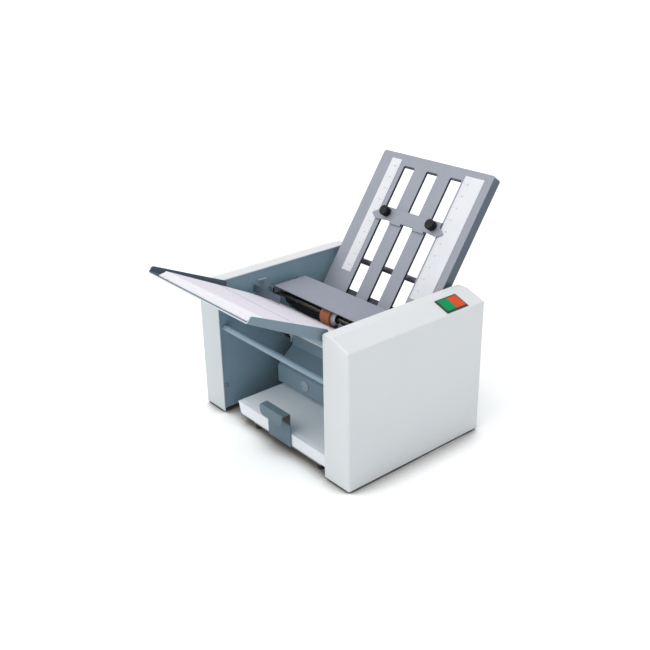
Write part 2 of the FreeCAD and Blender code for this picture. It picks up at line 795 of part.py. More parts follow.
def make_paper():
    path = tray_path(tray_sheet, stack_front)
    stack = bent_sheet(path, stack_height, tray_bow + tray_sheet, -paper_half, paper_half)
    parts["paper_stack"] = stack


# ---- upper fold plate ----
def plate_slots(low, high):
    cuts = []
    for x in slot_centres:
        cut = box(x - slot_width / 2, x + slot_width / 2, slot_bottom, slot_top, low, high)
        cut = rounded(cut, 3.0, lambda e: along(e, V(0, 0, 1)))
        cuts.append(cut)
    return cuts


def make_fold_plate():
    face = box(-plate_half, plate_half, plate_end, 0, -plate_sheet, 0)
    sides = box(-plate_half, plate_half, plate_flange_end, 0, -plate_depth, 0)
    sides = rounded(sides, plate_corner, lambda e: along(e, V(0, 0, 1)) and e.CenterOfMass.y > -1)
    hollow = box(-plate_half + plate_sheet, plate_half - plate_sheet, plate_flange_end - 1,
                 -plate_sheet, -plate_depth - 1, -plate_sheet)
    hollow = rounded(hollow, plate_corner - plate_sheet,
                     lambda e: along(e, V(0, 0, 1)) and e.CenterOfMass.y > -2)
    tail = box(-plate_half, plate_half, plate_end, plate_flange_end + 1, -plate_sheet, 0)
    front = join([sides.cut(hollow), tail])
    front = rounded(front, 1.0, lambda e: abs(e.CenterOfMass.z) < 1e-6
                    and (abs(abs(e.CenterOfMass.x) - plate_half) < 0.1 or abs(e.CenterOfMass.y) < 0.1))
    parts["fold_plate_front"] = on_plate(front.cut(plate_slots(-plate_sheet - 1, 1)))

    inside = plate_half - plate_sheet
    top = -plate_sheet - pocket_gap
    low = top - back_sheet
    back = box(-inside, inside, plate_end, -plate_corner - 1, low, top).cut(plate_slots(low - 1, top + 1))
    spacers = [box(-inside, -inside + spacer_width, plate_end, -plate_corner - 1, top, -plate_sheet),
               box(inside - spacer_width, inside, plate_end, -plate_corner - 1, top, -plate_sheet)]
    ribs = [box(-inside, inside, s0 - plate_corner, s1 - plate_corner, rib_end, low)
            for s0, s1 in rib_spots]
    parts["fold_plate_back"] = on_plate(group([back] + spacers + ribs))


def make_strips():
    strips = []
    for x0, x1, s0, s1 in (strip_left, strip_right):
        strips.append(box(x0, x1, s0, s1, 0, strip_thick))
    parts["scale_strips"] = on_plate(group(strips))


def make_fold_stop():
    low, high = stop_lift, stop_lift + stop_sheet
    outline = [(stop_left, stop_top), (stop_right, stop_top), (stop_right, stop_tip_s + stop_tip_half),
               (stop_tip_right, stop_tip_s), (stop_right, stop_tip_s - stop_tip_half)]
    for left, right in ((2, 1), (1, 0)):
        x1 = slot_centres[left] - slot_width / 2 - 1
        x0 = slot_centres[right] + slot_width / 2 + 1
        outline += [(x1, stop_bottom), (x1, stop_bottom - stop_tab), (x0, stop_bottom - stop_tab),
                    (x0, stop_bottom)]
    outline += [(stop_left, stop_tip_s - stop_tip_half), (stop_tip_left, stop_tip_s),
                (stop_left, stop_tip_s + stop_tip_half)]
    corners = [V(x, s, low) for x, s in outline]
    bar = Part.Face(Part.makePolygon(corners + corners[:1])).extrude(V(0, 0, stop_sheet))
    blade_top = -plate_sheet - (pocket_gap - blade_thick) / 2
    blade = box(-blade_half, blade_half, stop_bottom, stop_top, blade_top - blade_thick, blade_top)
    spots = (slot_centres[0], slot_centres[2])
    bosses = [Part.makeCylinder(boss_radius, high - blade_top + blade_thick,
                                V(x, knob_s, blade_top - blade_thick)) for x in spots]
    bores = [Part.makeCylinder(stud_bolt_radius + running_fit, 40, V(x, knob_s, -20)) for x in spots]
    nut_top = -plate_sheet - pocket_gap - back_sheet - air_gap
    nuts = [box(x - nut_half, x + nut_half, knob_s - 10, knob_s + 10, nut_top - nut_thick, nut_top)
            for x in spots]
    stop = join([bar, blade] + bosses).cut(bores)
    parts["fold_stop"] = on_plate(group([stop] + [nut.cut(bores) for nut in nuts]))
    for name, x in (("left_knob", spots[0]), ("right_knob", spots[1])):
        parts[name] = on_plate(make_knob(x, high + slide_gap, nut_top - nut_thick - 1))


def make_knob(x, seat, stud_end):
    base = seat + knob_collar
    grip = Part.makeCylinder(knob_radius, knob_height - knob_collar, V(x, knob_s, base))
    grip = rounded(grip, 1.2, lambda e: e.CenterOfMass.z > base + 1)
    flutes = []
    for i in range(knob_flutes):
        turn = 2 * math.pi * i / knob_flutes
        spot = V(x + knob_radius * 1.06 * math.cos(turn), knob_s + knob_radius * 1.06 * math.sin(turn),
                 base - 1)
        flutes.append(Part.makeCylinder(flute_radius, knob_height + 2, spot))
    collar = Part.makeCylinder(knob_collar_radius, knob_collar, V(x, knob_s, seat))
    stud = Part.makeCylinder(stud_bolt_radius, base - stud_end, V(x, knob_s, stud_end))
    return join([grip.cut(flutes), collar, stud])


# ---- feed roller and fold rollers ----
def make_feed_roller():
    reach = pulley_x + belt_width + 2 * pulley_lip
    parts["feed_shaft"] = rod(-reach, panel_out + 1.5, feed_axis, shaft_radius)
    x0 = feed_centre - feed_width / 2
    x1 = feed_centre + feed_width / 2
    tyre = tube(x0, x1, feed_axis, feed_radius, feed_core_radius)
    tyre = rounded(tyre, 1.0, lambda e: abs(e.Curve.Radius - feed_radius) < 0.01
                   if hasattr(e.Curve, "Radius") else False)
    parts["feed_wheel"] = tyre
    core = tube(x0, x1, feed_axis, feed_core_radius, shaft_radius)
    collar = tube(x1, x1 + hub_width, feed_axis, hub_radius, shaft_radius)
    parts["feed_hub"] = join([core, collar])
    parts["feed_pulley"] = make_pulley(-pulley_x - belt_width - 2 * pulley_lip, feed_axis,
                                       feed_pulley_radius, shaft_radius)


def make_pulley(x0, spot, radius, bore):
    rim = radius + belt_thick + 1.2
    width = belt_width + 2 * pulley_lip
    core = rod(x0, x0 + width, spot, radius)
    lips = [rod(x0, x0 + pulley_lip - slide_gap, spot, rim),
            rod(x0 + width - pulley_lip + slide_gap, x0 + width, spot, rim)]
    return join([core] + lips).cut(rod(x0 - 1, x0 + width + 1, spot, bore))


def make_fold_rollers():
    width = belt_width + 2 * pulley_lip
    ends = {1: pulley_x + width, 2: gear_x + gear_width, 3: gear_x + gear_width,
            4: gear_x + gear_width}
    shoulder_end = panel_in - bush_flange - air_gap
    for number, spot in enumerate(rollers, start=1):
        right = drive_x + width if number == 2 else panel_out + 1.5
        body = rod(-roller_half, roller_half, spot, roller_radius)
        grooves = [tube(x - groove_width / 2, x + groove_width / 2, spot, roller_radius + 1,
                        roller_radius - groove_depth) for x in (-90, -54, -18, 18, 54, 90)]
        collars = rod(-shoulder_end, shoulder_end, spot, shaft_radius + 1.5)
        shaft = rod(-ends[number], right, spot, shaft_radius)
        parts["fold_roller_%d" % number] = join([body.cut(grooves), collars, shaft])


def make_bushes():
    bushes = []
    for spot in rollers + (feed_axis,):
        sleeve = rod(panel_in, gear_x - air_gap, spot, bush_radius)
        flange = rod(panel_in - bush_flange, panel_in, spot, bush_flange_radius)
        bore = rod(panel_in - 9, panel_in + 9, spot, shaft_radius + running_fit)
        one = join([sleeve, flange]).cut(bore)
        bushes += [one, mirrored(one)]
    parts["bushes"] = group(bushes)


def gear_wire(x):
    # involute teeth, one tooth centred on +y
    pitch = roller_pitch / 2
    module = 2 * pitch / gear_teeth
    base = pitch * math.cos(math.radians(pressure_angle))
    tip, root = pitch + module - 0.1, pitch - 1.25 * module

    def involute(radius):
        angle = math.acos(min(1, base / radius))
        return math.tan(angle) - angle

    def half_angle(radius):
        at_pitch = math.pi / (2 * gear_teeth) - gear_backlash / (2 * pitch)
        return at_pitch + involute(pitch) - involute(radius)

    def spot(radius, angle):
        return V(x, radius * math.cos(angle), radius * math.sin(angle))

    middle = (base + tip) / 2
    step = 2 * math.pi / gear_teeth
    edges = []
    for i in range(gear_teeth):
        turn = i * step
        for side in (-1, 1):
            flank = [spot(r, turn + side * half_angle(r)) for r in (base, middle, tip)]
            foot = spot(root, turn + side * half_angle(base))
            if side < 0:
                edges.append(Part.LineSegment(foot, flank[0]).toShape())
                edges.append(Part.Arc(*flank).toShape())
                top = [flank[2], spot(tip, turn), spot(tip, turn + half_angle(tip))]
                edges.append(Part.Arc(*top).toShape())
            else:
                edges.append(Part.Arc(*reversed(flank)).toShape())
                edges.append(Part.LineSegment(flank[0], foot).toShape())
                after = spot(root, turn + step - half_angle(base))
                edges.append(Part.Arc(foot, spot(root, turn + step / 2), after).toShape())
    return Part.Wire(edges)


def make_gears():
    step = 360.0 / gear_teeth
    for number, spot in enumerate(rollers, start=1):
        gear = Part.Face(gear_wire(-gear_x - gear_width)).extrude(V(gear_width, 0, 0))
        if number != 2:
            way = math.degrees(math.atan2(spot[1] - roller_2[1], spot[0] - roller_2[0]))
            past = way % step
            gear.rotate(V(0, 0, 0), AXIS_X, way + 180 + past + step / 2)
        gear.translate(V(0, *spot))
        parts["roller_gear_%d" % number] = gear.cut(
            rod(-gear_x - gear_width - 1, -gear_x + 1, spot, shaft_radius))


# ---- belts and motor ----
def make_belt(x0, first, r1, second, r2):
    way = math.atan2(second[1] - first[1], second[0] - first[0])
    apart = math.hypot(second[0] - first[0], second[1] - first[1])

    def loop(extra):
        a, b = r1 + extra, r2 + extra
        lean = math.acos((a - b) / apart)
        edges = []
        for side in (1, -1):
            turn = way + side * lean
            edges.append(Part.LineSegment(V(x0, first[0] + a * math.cos(turn), first[1] + a * math.sin(turn)),
                                          V(x0, second[0] + b * math.cos(turn),
                                            second[1] + b * math.sin(turn))).toShape())
        for centre, radius, facing in ((first, a, way + math.pi), (second, b, way)):
            spread = math.pi - lean if facing != way else lean
            points = [V(x0, centre[0] + radius * math.cos(facing + k * spread),
                        centre[1] + radius * math.sin(facing + k * spread)) for k in (-1, 0, 1)]
            edges.append(Part.Arc(*points).toShape())
        return Part.Face(Part.Wire(Part.__sortEdges__(edges)))

    return loop(air_gap + belt_thick).cut(loop(air_gap)).extrude(V(belt_width, 0, 0))


def make_drive():
    width = belt_width + 2 * pulley_lip
    x_feed = -pulley_x - width
    parts["roller_pulley"] = make_pulley(x_feed, roller_1, roller_pulley_radius, shaft_radius)
    parts["feed_belt"] = make_belt(x_feed + pulley_lip, feed_axis, feed_pulley_radius, roller_1,
                                   roller_pulley_radius)
    parts["drive_pulley"] = make_pulley(drive_x, roller_2, drive_pulley_radius, shaft_radius)
    parts["drive_belt"] = make_belt(drive_x + pulley_lip, roller_2, drive_pulley_radius, motor_axis,
                                    motor_pulley_radius)
    x_motor = panel_out + bracket_gap
    pulley = make_pulley(drive_x, motor_axis, motor_pulley_radius, motor_shaft_radius / 2)
    spindle = rod(drive_x - 0.5, x_motor + bracket_sheet + 6, motor_axis, motor_shaft_radius)
    parts["motor_pulley"] = join([pulley, spindle])
    make_motor(x_motor)


def make_motor(x_bracket):
    way = math.degrees(math.atan2(roller_2[1] - motor_axis[1], roller_2[0] - motor_axis[0]))
    half = bracket_size / 2
    post = half - bracket_post_radius - 1
    x1 = x_bracket + bracket_sheet
    plate = box(x_bracket, x1, -half, half, -half, half)
    plate = rounded(plate, bracket_post_radius, lambda e: along(e, AXIS_X))
    posts = [rod(panel_out, x_bracket, (a * post, b * post), bracket_post_radius)
             for a in (-1, 1) for b in (-1, 1)]
    bracket = join([plate] + posts)
    bracket.rotate(V(0, 0, 0), AXIS_X, way)
    bracket.translate(V(0, *motor_axis))
    parts["motor_bracket"] = bracket.cut(rod(x_bracket - 1, x1 + 1, motor_axis, 6))
    body = rod(x1, x1 + motor_length, motor_axis, motor_radius)
    body = rounded(body, 2.0, lambda e: e.CenterOfMass.x > x1 + motor_length - 1)
    slots = [tube(x1 + offset, x1 + offset + 2, motor_axis, motor_radius + 1, motor_radius - 1)
             for offset in (6, 12, 18)]
    bore = rod(x1 - 1, x1 + 6 + air_gap, motor_axis, motor_shaft_radius + running_fit)
    parts["motor"] = body.cut(slots + [bore])


def make_board():
    y0, y1, z0, z1 = board_box
    x0 = panel_out + board_stand
    board = box(x0, x0 + board_thick, y0, y1, z0, z1)
    inset = board_post_inset
    posts = [rod(panel_out, x0, (y, z), board_post_radius) for y in (y0 + inset, y1 - inset)
             for z in (z0 + inset, z1 - inset)]
    chips = [box(x0 + board_thick, x0 + tall, y0 + a, y0 + b, z0 + c, z0 + d)
             for a, b, c, d, tall in board_blocks]
    y, z, radius, tall = board_can
    chips.append(rod(x0 + board_thick, x0 + tall, (y0 + y, z0 + z), radius))
    parts["control_board"] = join([board] + posts + chips)


def make_power_inlet():
    half_w, half_h = inlet_width / 2, inlet_height / 2
    flange = box(inlet_x - half_w - inlet_lip, inlet_x + half_w + inlet_lip, cover_depth,
                 cover_depth + 2, inlet_z - half_h - inlet_lip, inlet_z + half_h + inlet_lip)
    body = box(inlet_x - half_w, inlet_x + half_w, cover_depth - inlet_deep, cover_depth,
               inlet_z - half_h, inlet_z + half_h)
    mouth = box(inlet_x - half_w + 1.5, inlet_x + half_w - 1.5, cover_depth - inlet_deep + 3,
                cover_depth + 3, inlet_z - half_h + 1.5, inlet_z + half_h - 1.5)
    pins = [box(inlet_x + dx - 1, inlet_x + dx + 1, cover_depth - inlet_deep + 2, cover_depth - 3,
                inlet_z + dz - 2, inlet_z + dz + 2) for dx, dz in ((-7, -2), (0, 2), (7, -2))]
    parts["power_inlet"] = join([join([flange, body]).cut(mouth)] + pins)


# ---- separator ----
def make_separator():
    y0, y1, z0, z1 = separator_bar_box
    bar = box(-panel_in, panel_in, y0, y1, z0, z1)
    half = arm_width / 2
    lugs = []
    for side in (-1, 1):
        inner = feed_centre + side * (half + slide_gap)
        outer = inner + side * lug_thick
        top = arm_pivot[1] + lug_size / 2
        lug = box(min(inner, outer), max(inner, outer), arm_pivot[0] - lug_size / 2, y1, z1, top)
        lug = rounded(lug, 2.0, lambda e: along(e, AXIS_X) and e.CenterOfMass.z > top - 1)
        lugs.append(lug)
    bore = rod(feed_centre - 30, feed_centre + 30, arm_pivot, arm_pin_radius + running_fit)
    parts["separator_bar"] = join([bar] + lugs).cut(bore)

    tangent = math.radians(pad_angle + 90)
    inward = math.radians(pad_angle)
    pad = box(feed_centre - pad_width / 2, feed_centre + pad_width / 2, -pad_length / 2,
              pad_length / 2, -pad_thick, 0)
    pad.rotate(V(0, 0, 0), AXIS_X, math.degrees(tangent))
    pad.translate(V(0, *pad_point))
    parts["separator_pad"] = pad
    under = (pad_point[0] + pad_thick * math.cos(inward), pad_point[1] + pad_thick * math.sin(inward))
    front = (under[0] - pad_length / 2 * math.cos(tangent), under[1] - pad_length / 2 * math.sin(tangent))
    back = (under[0] + pad_length / 2 * math.cos(tangent), under[1] + pad_length / 2 * math.sin(tangent))
    arm = bent_sheet([arm_pivot, back, front], arm_thick, 2.0, feed_centre - half, feed_centre + half)
    eye = rod(feed_centre - half, feed_centre + half, arm_pivot, arm_thick + 1)
    reach = half + slide_gap + lug_thick
    pin = rod(feed_centre - reach, feed_centre + reach, arm_pivot, arm_pin_radius)
    parts["separator_arm"] = join([arm, eye, pin])
    make_spring(z1, arm_underside(spring_y + spring_radius + spring_wire, back))


def arm_underside(y, back):
    rise = (back[1] - arm_pivot[1]) / (back[0] - arm_pivot[0])
    return arm_pivot[1] + rise * (y - arm_pivot[0]) - arm_thick * math.hypot(1, rise)


def make_spring(low, high):
    height = high - low - 2 * spring_wire - 2 * slide_gap
    helix = Part.makeHelix(height / spring_turns, height, spring_radius)
    profile = Part.Wire(Part.makeCircle(spring_wire, V(spring_radius, 0, 0), V(0, 1, 0)))
    coil = Part.Wire(helix).makePipeShell([profile], True, True)
    coil.translate(V(feed_centre, spring_y, low + spring_wire + slide_gap))
    parts["separator_spring"] = coil


# ---- lower fold plate ----
def make_lower_plate():
    near, far = pocket_gap / 2, pocket_gap / 2 + back_sheet
    front = box(-lower_half, lower_half, lower_end, lower_start, near, far)
    back = box(-lower_half, lower_half, lower_end, lower_start, -far, -near)
    for s in (lower_start - ear_height, lower_end + lower_ear_rise):
        back = join([back, box(-panel_in, panel_in, s, s + ear_height, -far, -near)])
    cuts = [box(x - lower_slot_width / 2, x + lower_slot_width / 2, lower_end + 3, lower_slot_top,
                -far - 1, 0) for x in lower_slots]
    spacers = [box(-lower_half, -lower_half + lower_spacer, lower_end, lower_start, -near, near),
               box(lower_half - lower_spacer, lower_half, lower_end, lower_start, -near, near)]
    parts["lower_fold_plate"] = on_lower_plate(group([front, back.cut(cuts)] + spacers))

    blade_half_thick = near - slide_gap
    blade = box(-lower_blade_half, lower_blade_half, lower_stop_bottom, lower_stop_top,
                -blade_half_thick, blade_half_thick)
    bar_top = -far - lower_clamp_gap
    bar_low = bar_top - lower_clamp_thick
    bar_half = lower_half - lower_clamp_inset
    bar = box(-bar_half, bar_half, lower_stop_bottom, lower_stop_top, bar_low, bar_top)
    middle = (lower_stop_bottom + lower_stop_top) / 2
    bosses = [Part.makeCylinder(lower_boss_radius, -bar_low, V(x, middle, bar_low))
              for x in lower_slots]
    heads = [Part.makeCylinder(lower_screw_radius, lower_screw_head,
                               V(x, middle, bar_low - lower_screw_head)) for x in lower_slots]
    parts["lower_stop"] = on_lower_plate(join([blade, bar] + bosses + heads))


# ---- exit ----
def make_chute():
    path = [(chute_high[0], chute_top), chute_high, (chute_front, chute_bend_z),
            (chute_front, chute_low)]
    parts["exit_chute"] = bent_sheet(path, chute_sheet, 2.0, -chute_half, chute_half)
    x, z = cap_spot
    cap = Part.makeCylinder(cap_radius, cap_height, V(x, chute_front, z), V(0, -1, 0))
    parts["chute_cap"] = rounded(cap, 1.0, lambda e: e.CenterOfMass.y < chute_front - 1)
    slide = bent_sheet([slide_end, slide_foot, slide_start], guide_sheet, 2.0, -chute_half, chute_half)
    y0, y1, bar_top = lower_bar[0] + 3, lower_bar[0] + 3 + slide_rib, lower_bar[3]
    rise = (slide_start[1] - slide_foot[1]) / (slide_start[0] - slide_foot[0])
    ribs = []
    for x in (-80, 80):
        top = [slide_foot[1] + (y - slide_foot[0]) * rise + 0.5 for y in (y0, y1)]
        ribs.append(prism([(y0, bar_top), (y1, bar_top), (y1, top[1]), (y0, top[0])], x - 3, x + 3))
    parts["exit_slide"] = join([slide] + ribs)


def make_exit_tray():
    rear = lower_bar[0]
    floor = bent_sheet([(exit_front, exit_low), (rear, exit_low), (rear, exit_hook)], exit_sheet, 2.0,
                       exit_left, exit_right)
    runners = []
    for x in (exit_left, exit_right - runner_width):
        runners.append(box(x, x + runner_width, exit_front + 2, pile_front + pile_depth,
                           exit_low + exit_sheet, pile_low))
    for side in (-1, 1):
        edge = stop_centre + side * (hook_leg_half + air_gap)
        runners.append(box(min(edge, edge + side * 2.5), max(edge, edge + side * 2.5), exit_front + 2,
                           pile_front + pile_depth, exit_low + exit_sheet, pile_low))
    parts["exit_tray"] = join([floor] + runners)


def make_pile():
    slant = [V(pile_left, pile_front, pile_top), V(pile_right, pile_front, pile_top),
             V(pile_right, pile_front, pile_low), V(pile_left + pile_slant, pile_front, pile_low)]
    pile = Part.Face(Part.makePolygon(slant + slant[:1])).extrude(V(0, pile_depth, 0))
    parts["folded_stack"] = rounded(pile, 3.5, lambda e: along(e, AXIS_X)
                                    and e.CenterOfMass.y < pile_front + 1)


def make_exit_stop():
    x0, x1 = stop_centre - hook_width / 2, stop_centre + hook_width / 2
    lip_y = hook_plate_y - hook_reach
    low = exit_low + exit_sheet
    path = [(lip_y, hook_top - hook_lip), (lip_y, hook_top), (hook_plate_y, hook_top),
            (hook_plate_y, low), (hook_leg_end, low)]
    hook = bent_sheet(path, hook_sheet, hook_bend, x0, x1)
    cuts = []
    for side in (-1, 1):
        edge = stop_centre + side * hook_leg_half
        far = edge + side * hook_width
        cuts.append(box(min(edge, far), max(edge, far), hook_plate_y + hook_sheet, hook_leg_end + 1,
                        low - 1, low + hook_sheet + hook_bend))
        edge = stop_centre + side * hook_width / 2
        centre = edge - side * hook_corner
        square = box(min(centre, edge + side), max(centre, edge + side), lip_y - 5, lip_y + 1,
                     hook_top - hook_lip - 1, hook_top - hook_lip + hook_corner)
        disc = Part.makeCylinder(hook_corner, 20, V(centre, lip_y - 10, hook_top - hook_lip + hook_corner),
                                 V(0, 1, 0))
        cuts.append(square.cut(disc))
    parts["exit_stop"] = hook.cut(cuts)


# ---- switch ----
def make_switch():
    a, b = switch_width / 2, switch_length / 2
    body_a, body_b = a - bezel_lip, b - bezel_lip
    open_a, open_b = a - bezel_rim, b - bezel_rim
    rim = box(-a, a, -b, b, 0, bezel_lip)
    rim = rounded(rim, 0.8, lambda e: e.CenterOfMass.z > bezel_lip - 0.1)
    body = box(-body_a, body_a, -body_b, body_b, -bezel_deep, 0)
    window = box(-open_a, open_a, -open_b, open_b, -bezel_deep + bezel_wall, bezel_lip + 1)
    parts["switch_bezel"] = on_shoulder(join([rim, body]).cut(window))
    for name, y0, y1 in (("green_button", -open_b + slide_gap, -slide_gap / 2),
                         ("red_button", slide_gap / 2, open_b - slide_gap)):
        button = box(-open_a + slide_gap, open_a - slide_gap, y0, y1, -button_deep, button_proud)
        button = rounded(button, 0.8, lambda e: e.CenterOfMass.z > button_proud - 0.1)
        parts[name] = on_shoulder(button)


def place_origin():
    whole = Part.makeCompound(list(parts.values())).BoundBox
    return V(-whole.Center.x, -whole.Center.y, -whole.ZMin)


def make_all():
    make_covers()
    make_side_plates()
    make_screws()
    make_feet()
    make_rods()
    make_rear_cover()
    make_lid()
    make_hanger_pins()
    make_throat()
    make_guides()
    make_tray()
    make_paper()
    make_fold_plate()
    make_strips()
    make_fold_stop()
    make_feed_roller()
    make_fold_rollers()
    make_bushes()
    make_gears()
    make_drive()
    make_board()
    make_power_inlet()
    make_separator()
    make_lower_plate()
    make_chute()
    make_exit_tray()
    make_pile()
    make_exit_stop()
    make_switch()


parts = {}
make_all()
origin_shift = place_origin()
os.makedirs("parts", exist_ok=True)
for node, shape in parts.items():
    shape.translate(origin_shift)
    shape.exportStep("parts/%s.step" % node)
print("%d nodes, origin shift %s" % (len(parts), origin_shift))
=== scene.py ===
import bmesh
import bpy
import math
import random
from mathutils import Matrix, Vector


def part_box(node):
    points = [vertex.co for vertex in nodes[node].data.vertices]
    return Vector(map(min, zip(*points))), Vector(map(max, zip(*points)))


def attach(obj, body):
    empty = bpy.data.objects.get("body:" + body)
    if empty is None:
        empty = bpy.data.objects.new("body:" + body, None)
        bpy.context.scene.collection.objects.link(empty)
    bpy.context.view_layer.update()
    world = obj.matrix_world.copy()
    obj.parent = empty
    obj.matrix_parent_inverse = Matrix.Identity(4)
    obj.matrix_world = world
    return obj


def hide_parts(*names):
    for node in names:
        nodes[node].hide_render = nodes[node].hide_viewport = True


# A desk-top letter folder: finishes for its metal, rubber and plastic parts, and the pieces
# made here: sheets on the feed tray, the folded letters, printed scales and small hardware.
# Lengths are in millimetres and angles in degrees; a texture's scale counts to the metre.

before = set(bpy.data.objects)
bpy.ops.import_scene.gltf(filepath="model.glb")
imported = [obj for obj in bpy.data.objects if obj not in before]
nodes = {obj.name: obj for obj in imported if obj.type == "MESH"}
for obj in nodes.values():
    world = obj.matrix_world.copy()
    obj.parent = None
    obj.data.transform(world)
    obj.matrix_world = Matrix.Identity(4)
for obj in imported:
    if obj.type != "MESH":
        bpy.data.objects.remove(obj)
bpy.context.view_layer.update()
print("frame loaded:", len(nodes), "nodes")


def nodeBox(name):
    # lowest and highest corner of a CAD node, from the origin
    low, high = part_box(name)
    return low * 1000, high * 1000


machine = {
    "plateTop": (349.0, 382.5),   # upper corner of the fold plate's face: y and z
    "plateTilt": 55.5,
    "trayTip": (-117.5, 279.5),   # front corner of the feed tray's floor
    "trayTilt": -27.5,
}
coverFront = -nodeBox("right_cover")[0].y


def at(x, y, z):
    # a place given from the covers' front at table height, in metres round the origin
    return Vector((x, y - coverFront, z)) / 1000


def moved(x, y, z):
    return Matrix.Translation(Vector((x, y, z)) / 1000)


def turned(angle, x, y):
    # a turn about the upright through a spot
    return moved(x, y, 0) @ Matrix.Rotation(math.radians(angle), 4, "Z") @ moved(-x, -y, 0)


def tiltedSpot(spot, tilt):
    # the matrix that lays a piece on a sloping plane: y runs along the slope to the rear, z out of it
    return Matrix.Translation(at(0, *spot)) @ Matrix.Rotation(math.radians(tilt), 4, "X")


def inFrame(place, move):
    # a move along a sloping plane, for a piece that already lies on it
    return place @ move @ place.inverted()


onPlate = tiltedSpot(machine["plateTop"], machine["plateTilt"])
onTray = tiltedSpot(machine["trayTip"], machine["trayTilt"])


# ---------- shader nodes

def newNode(tree, kind, sockets=None, **settings):
    # a shader node with its settings, and the fixed values of its sockets
    node = tree.nodes.new("ShaderNode" + kind)
    for setting, value in settings.items():
        setattr(node, setting, value)
    for socket, value in (sockets or {}).items():
        node.inputs[socket].default_value = value
    return node


def calculated(tree, operation, *sources, clamp=False):
    # the result of a sum on other nodes' results and plain numbers
    node = newNode(tree, "Math", operation=operation, use_clamp=clamp)
    for socket, source in zip(node.inputs, sources):
        if isinstance(source, (int, float)):
            socket.default_value = source
        else:
            tree.links.new(source, socket)
    return node.outputs[0]


def eased(tree, source, low, high):
    # 0 up to the low value, 1 from the high one, with a soft step between them
    span = newNode(tree, "MapRange", {"From Min": low, "From Max": high}, interpolation_type="SMOOTHSTEP")
    tree.links.new(source, span.inputs["Value"])
    return span.outputs["Result"]


# ---------- camera, light and floor

view = {
    "place": (966.1, -692.3, 736.8),
    "turn": 50.26655,
    "down": 24.3488,
    "roll": -0.96485,
    "lens": 49.54,
    "sensor": 36.0,
    "reach": 50000.0,
}
lamp = {
    "skyLight": 0.74,
    "skyColour": (0.955, 0.985, 1.0),
    "sunPower": 1.35,
    "sunColour": (1.0, 0.972, 0.940),
    "sunSpread": 70.0,
    "sunFrom": (-0.28, -0.50, 0.90),
}
floorLook = {
    "across": 30000.0,
    "below": 0.3,                 # under the machine's feet
    "colour": (0.97, 0.97, 0.97),
    "paintedShadowColour": (0.20, 0.178, 0.165),
    "nearDistance": 80.0,         # how far the painted contact shadow reaches from the machine
    "nearFrom": 0.36,             # darkest and clear, as shares of open sky
    "nearTo": 0.80,
    "samples": 12,
    "lift": 0.25,                 # brightens the clear part, so that it looks plain white
}


def addCamera():
    camera = bpy.data.objects.new("camera", bpy.data.cameras.new("camera"))
    bpy.context.scene.collection.objects.link(camera)
    camera.data.lens = view["lens"]
    camera.data.sensor_width = view["sensor"]
    camera.data.clip_end = view["reach"] / 1000
    turn = Matrix.Rotation(math.radians(view["turn"]), 4, "Z")
    down = Matrix.Rotation(math.radians(90 - view["down"]), 4, "X")
    roll = Matrix.Rotation(math.radians(view["roll"]), 4, "Z")
    camera.matrix_world = Matrix.Translation(at(*view["place"])) @ turn @ down @ roll
    bpy.context.scene.camera = camera


def addSky():
    # soft light on the machine, and plain white wherever the sky itself or its reflection shows
    world = bpy.data.worlds.new("studio")
    bpy.context.scene.world = world
    world.use_nodes = True
    tree = world.node_tree
    light = tree.nodes["Background"]
    light.inputs["Color"].default_value = (*lamp["skyColour"], 1)
    light.inputs["Strength"].default_value = lamp["skyLight"]
    backdrop = newNode(tree, "Background", {"Color": (1, 1, 1, 1)})
    ray = newNode(tree, "LightPath").outputs
    shown = calculated(tree, "MAXIMUM", ray["Is Camera Ray"], ray["Is Transmission Ray"])
    shown = calculated(tree, "MAXIMUM", shown, ray["Is Glossy Ray"])
    mix = newNode(tree, "MixShader")
    for source, socket in zip((shown, light.outputs[0], backdrop.outputs[0]), mix.inputs):
        tree.links.new(source, socket)
    tree.links.new(mix.outputs[0], tree.nodes["World Output"].inputs["Surface"])


def addSun():
    sun = bpy.data.objects.new("sun", bpy.data.lights.new("sun", "SUN"))
    bpy.context.scene.collection.objects.link(sun)
    sun.data.energy = lamp["sunPower"]
    sun.data.color = lamp["sunColour"]
    sun.data.angle = math.radians(lamp["sunSpread"])
    sun.rotation_euler = Vector(lamp["sunFrom"]).to_track_quat("Z", "Y").to_euler()


def floorPaper():
    # white paper with a painted contact shadow: an occlusion mask tints it darker close under the machine
    look = floorLook
    material = bpy.data.materials.new("palePaperSweep")
    material.use_nodes = True
    tree = material.node_tree
    shader = tree.nodes["Principled BSDF"]
    shader.inputs["Roughness"].default_value = 1
    shader.inputs["Specular IOR Level"].default_value = 0
    shader.inputs["Emission Color"].default_value = (1, 1, 1, 1)
    near = newNode(tree, "AmbientOcclusion", {"Distance": look["nearDistance"] / 1000},
                   samples=look["samples"])
    clear = eased(tree, near.outputs["AO"], look["nearFrom"], look["nearTo"])
    mix = newNode(tree, "Mix", {"A": (*look["paintedShadowColour"], 1), "B": (*look["colour"], 1)}, data_type="RGBA")
    tree.links.new(clear, mix.inputs["Factor"])
    tree.links.new(mix.outputs["Result"], shader.inputs["Base Color"])
    shown = newNode(tree, "LightPath").outputs["Is Camera Ray"]
    lift = calculated(tree, "MULTIPLY", shown, look["lift"])
    tree.links.new(calculated(tree, "MULTIPLY", lift, clear), shader.inputs["Emission Strength"])
    return material


def addFloor():
    bpy.ops.object.select_all(action="DESELECT")
    bpy.ops.mesh.primitive_plane_add(size=floorLook["across"] / 1000,
                                     location=(0, 0, -floorLook["below"] / 1000))
    floor = bpy.context.object
    floor.name = "floor"
    floor.data.materials.append(floorPaper())


bpy.context.scene.view_settings.view_transform = "Standard"
addCamera()
addSky()
addSun()
addFloor()
print("camera, light and floor are set")


# ---------- finishes

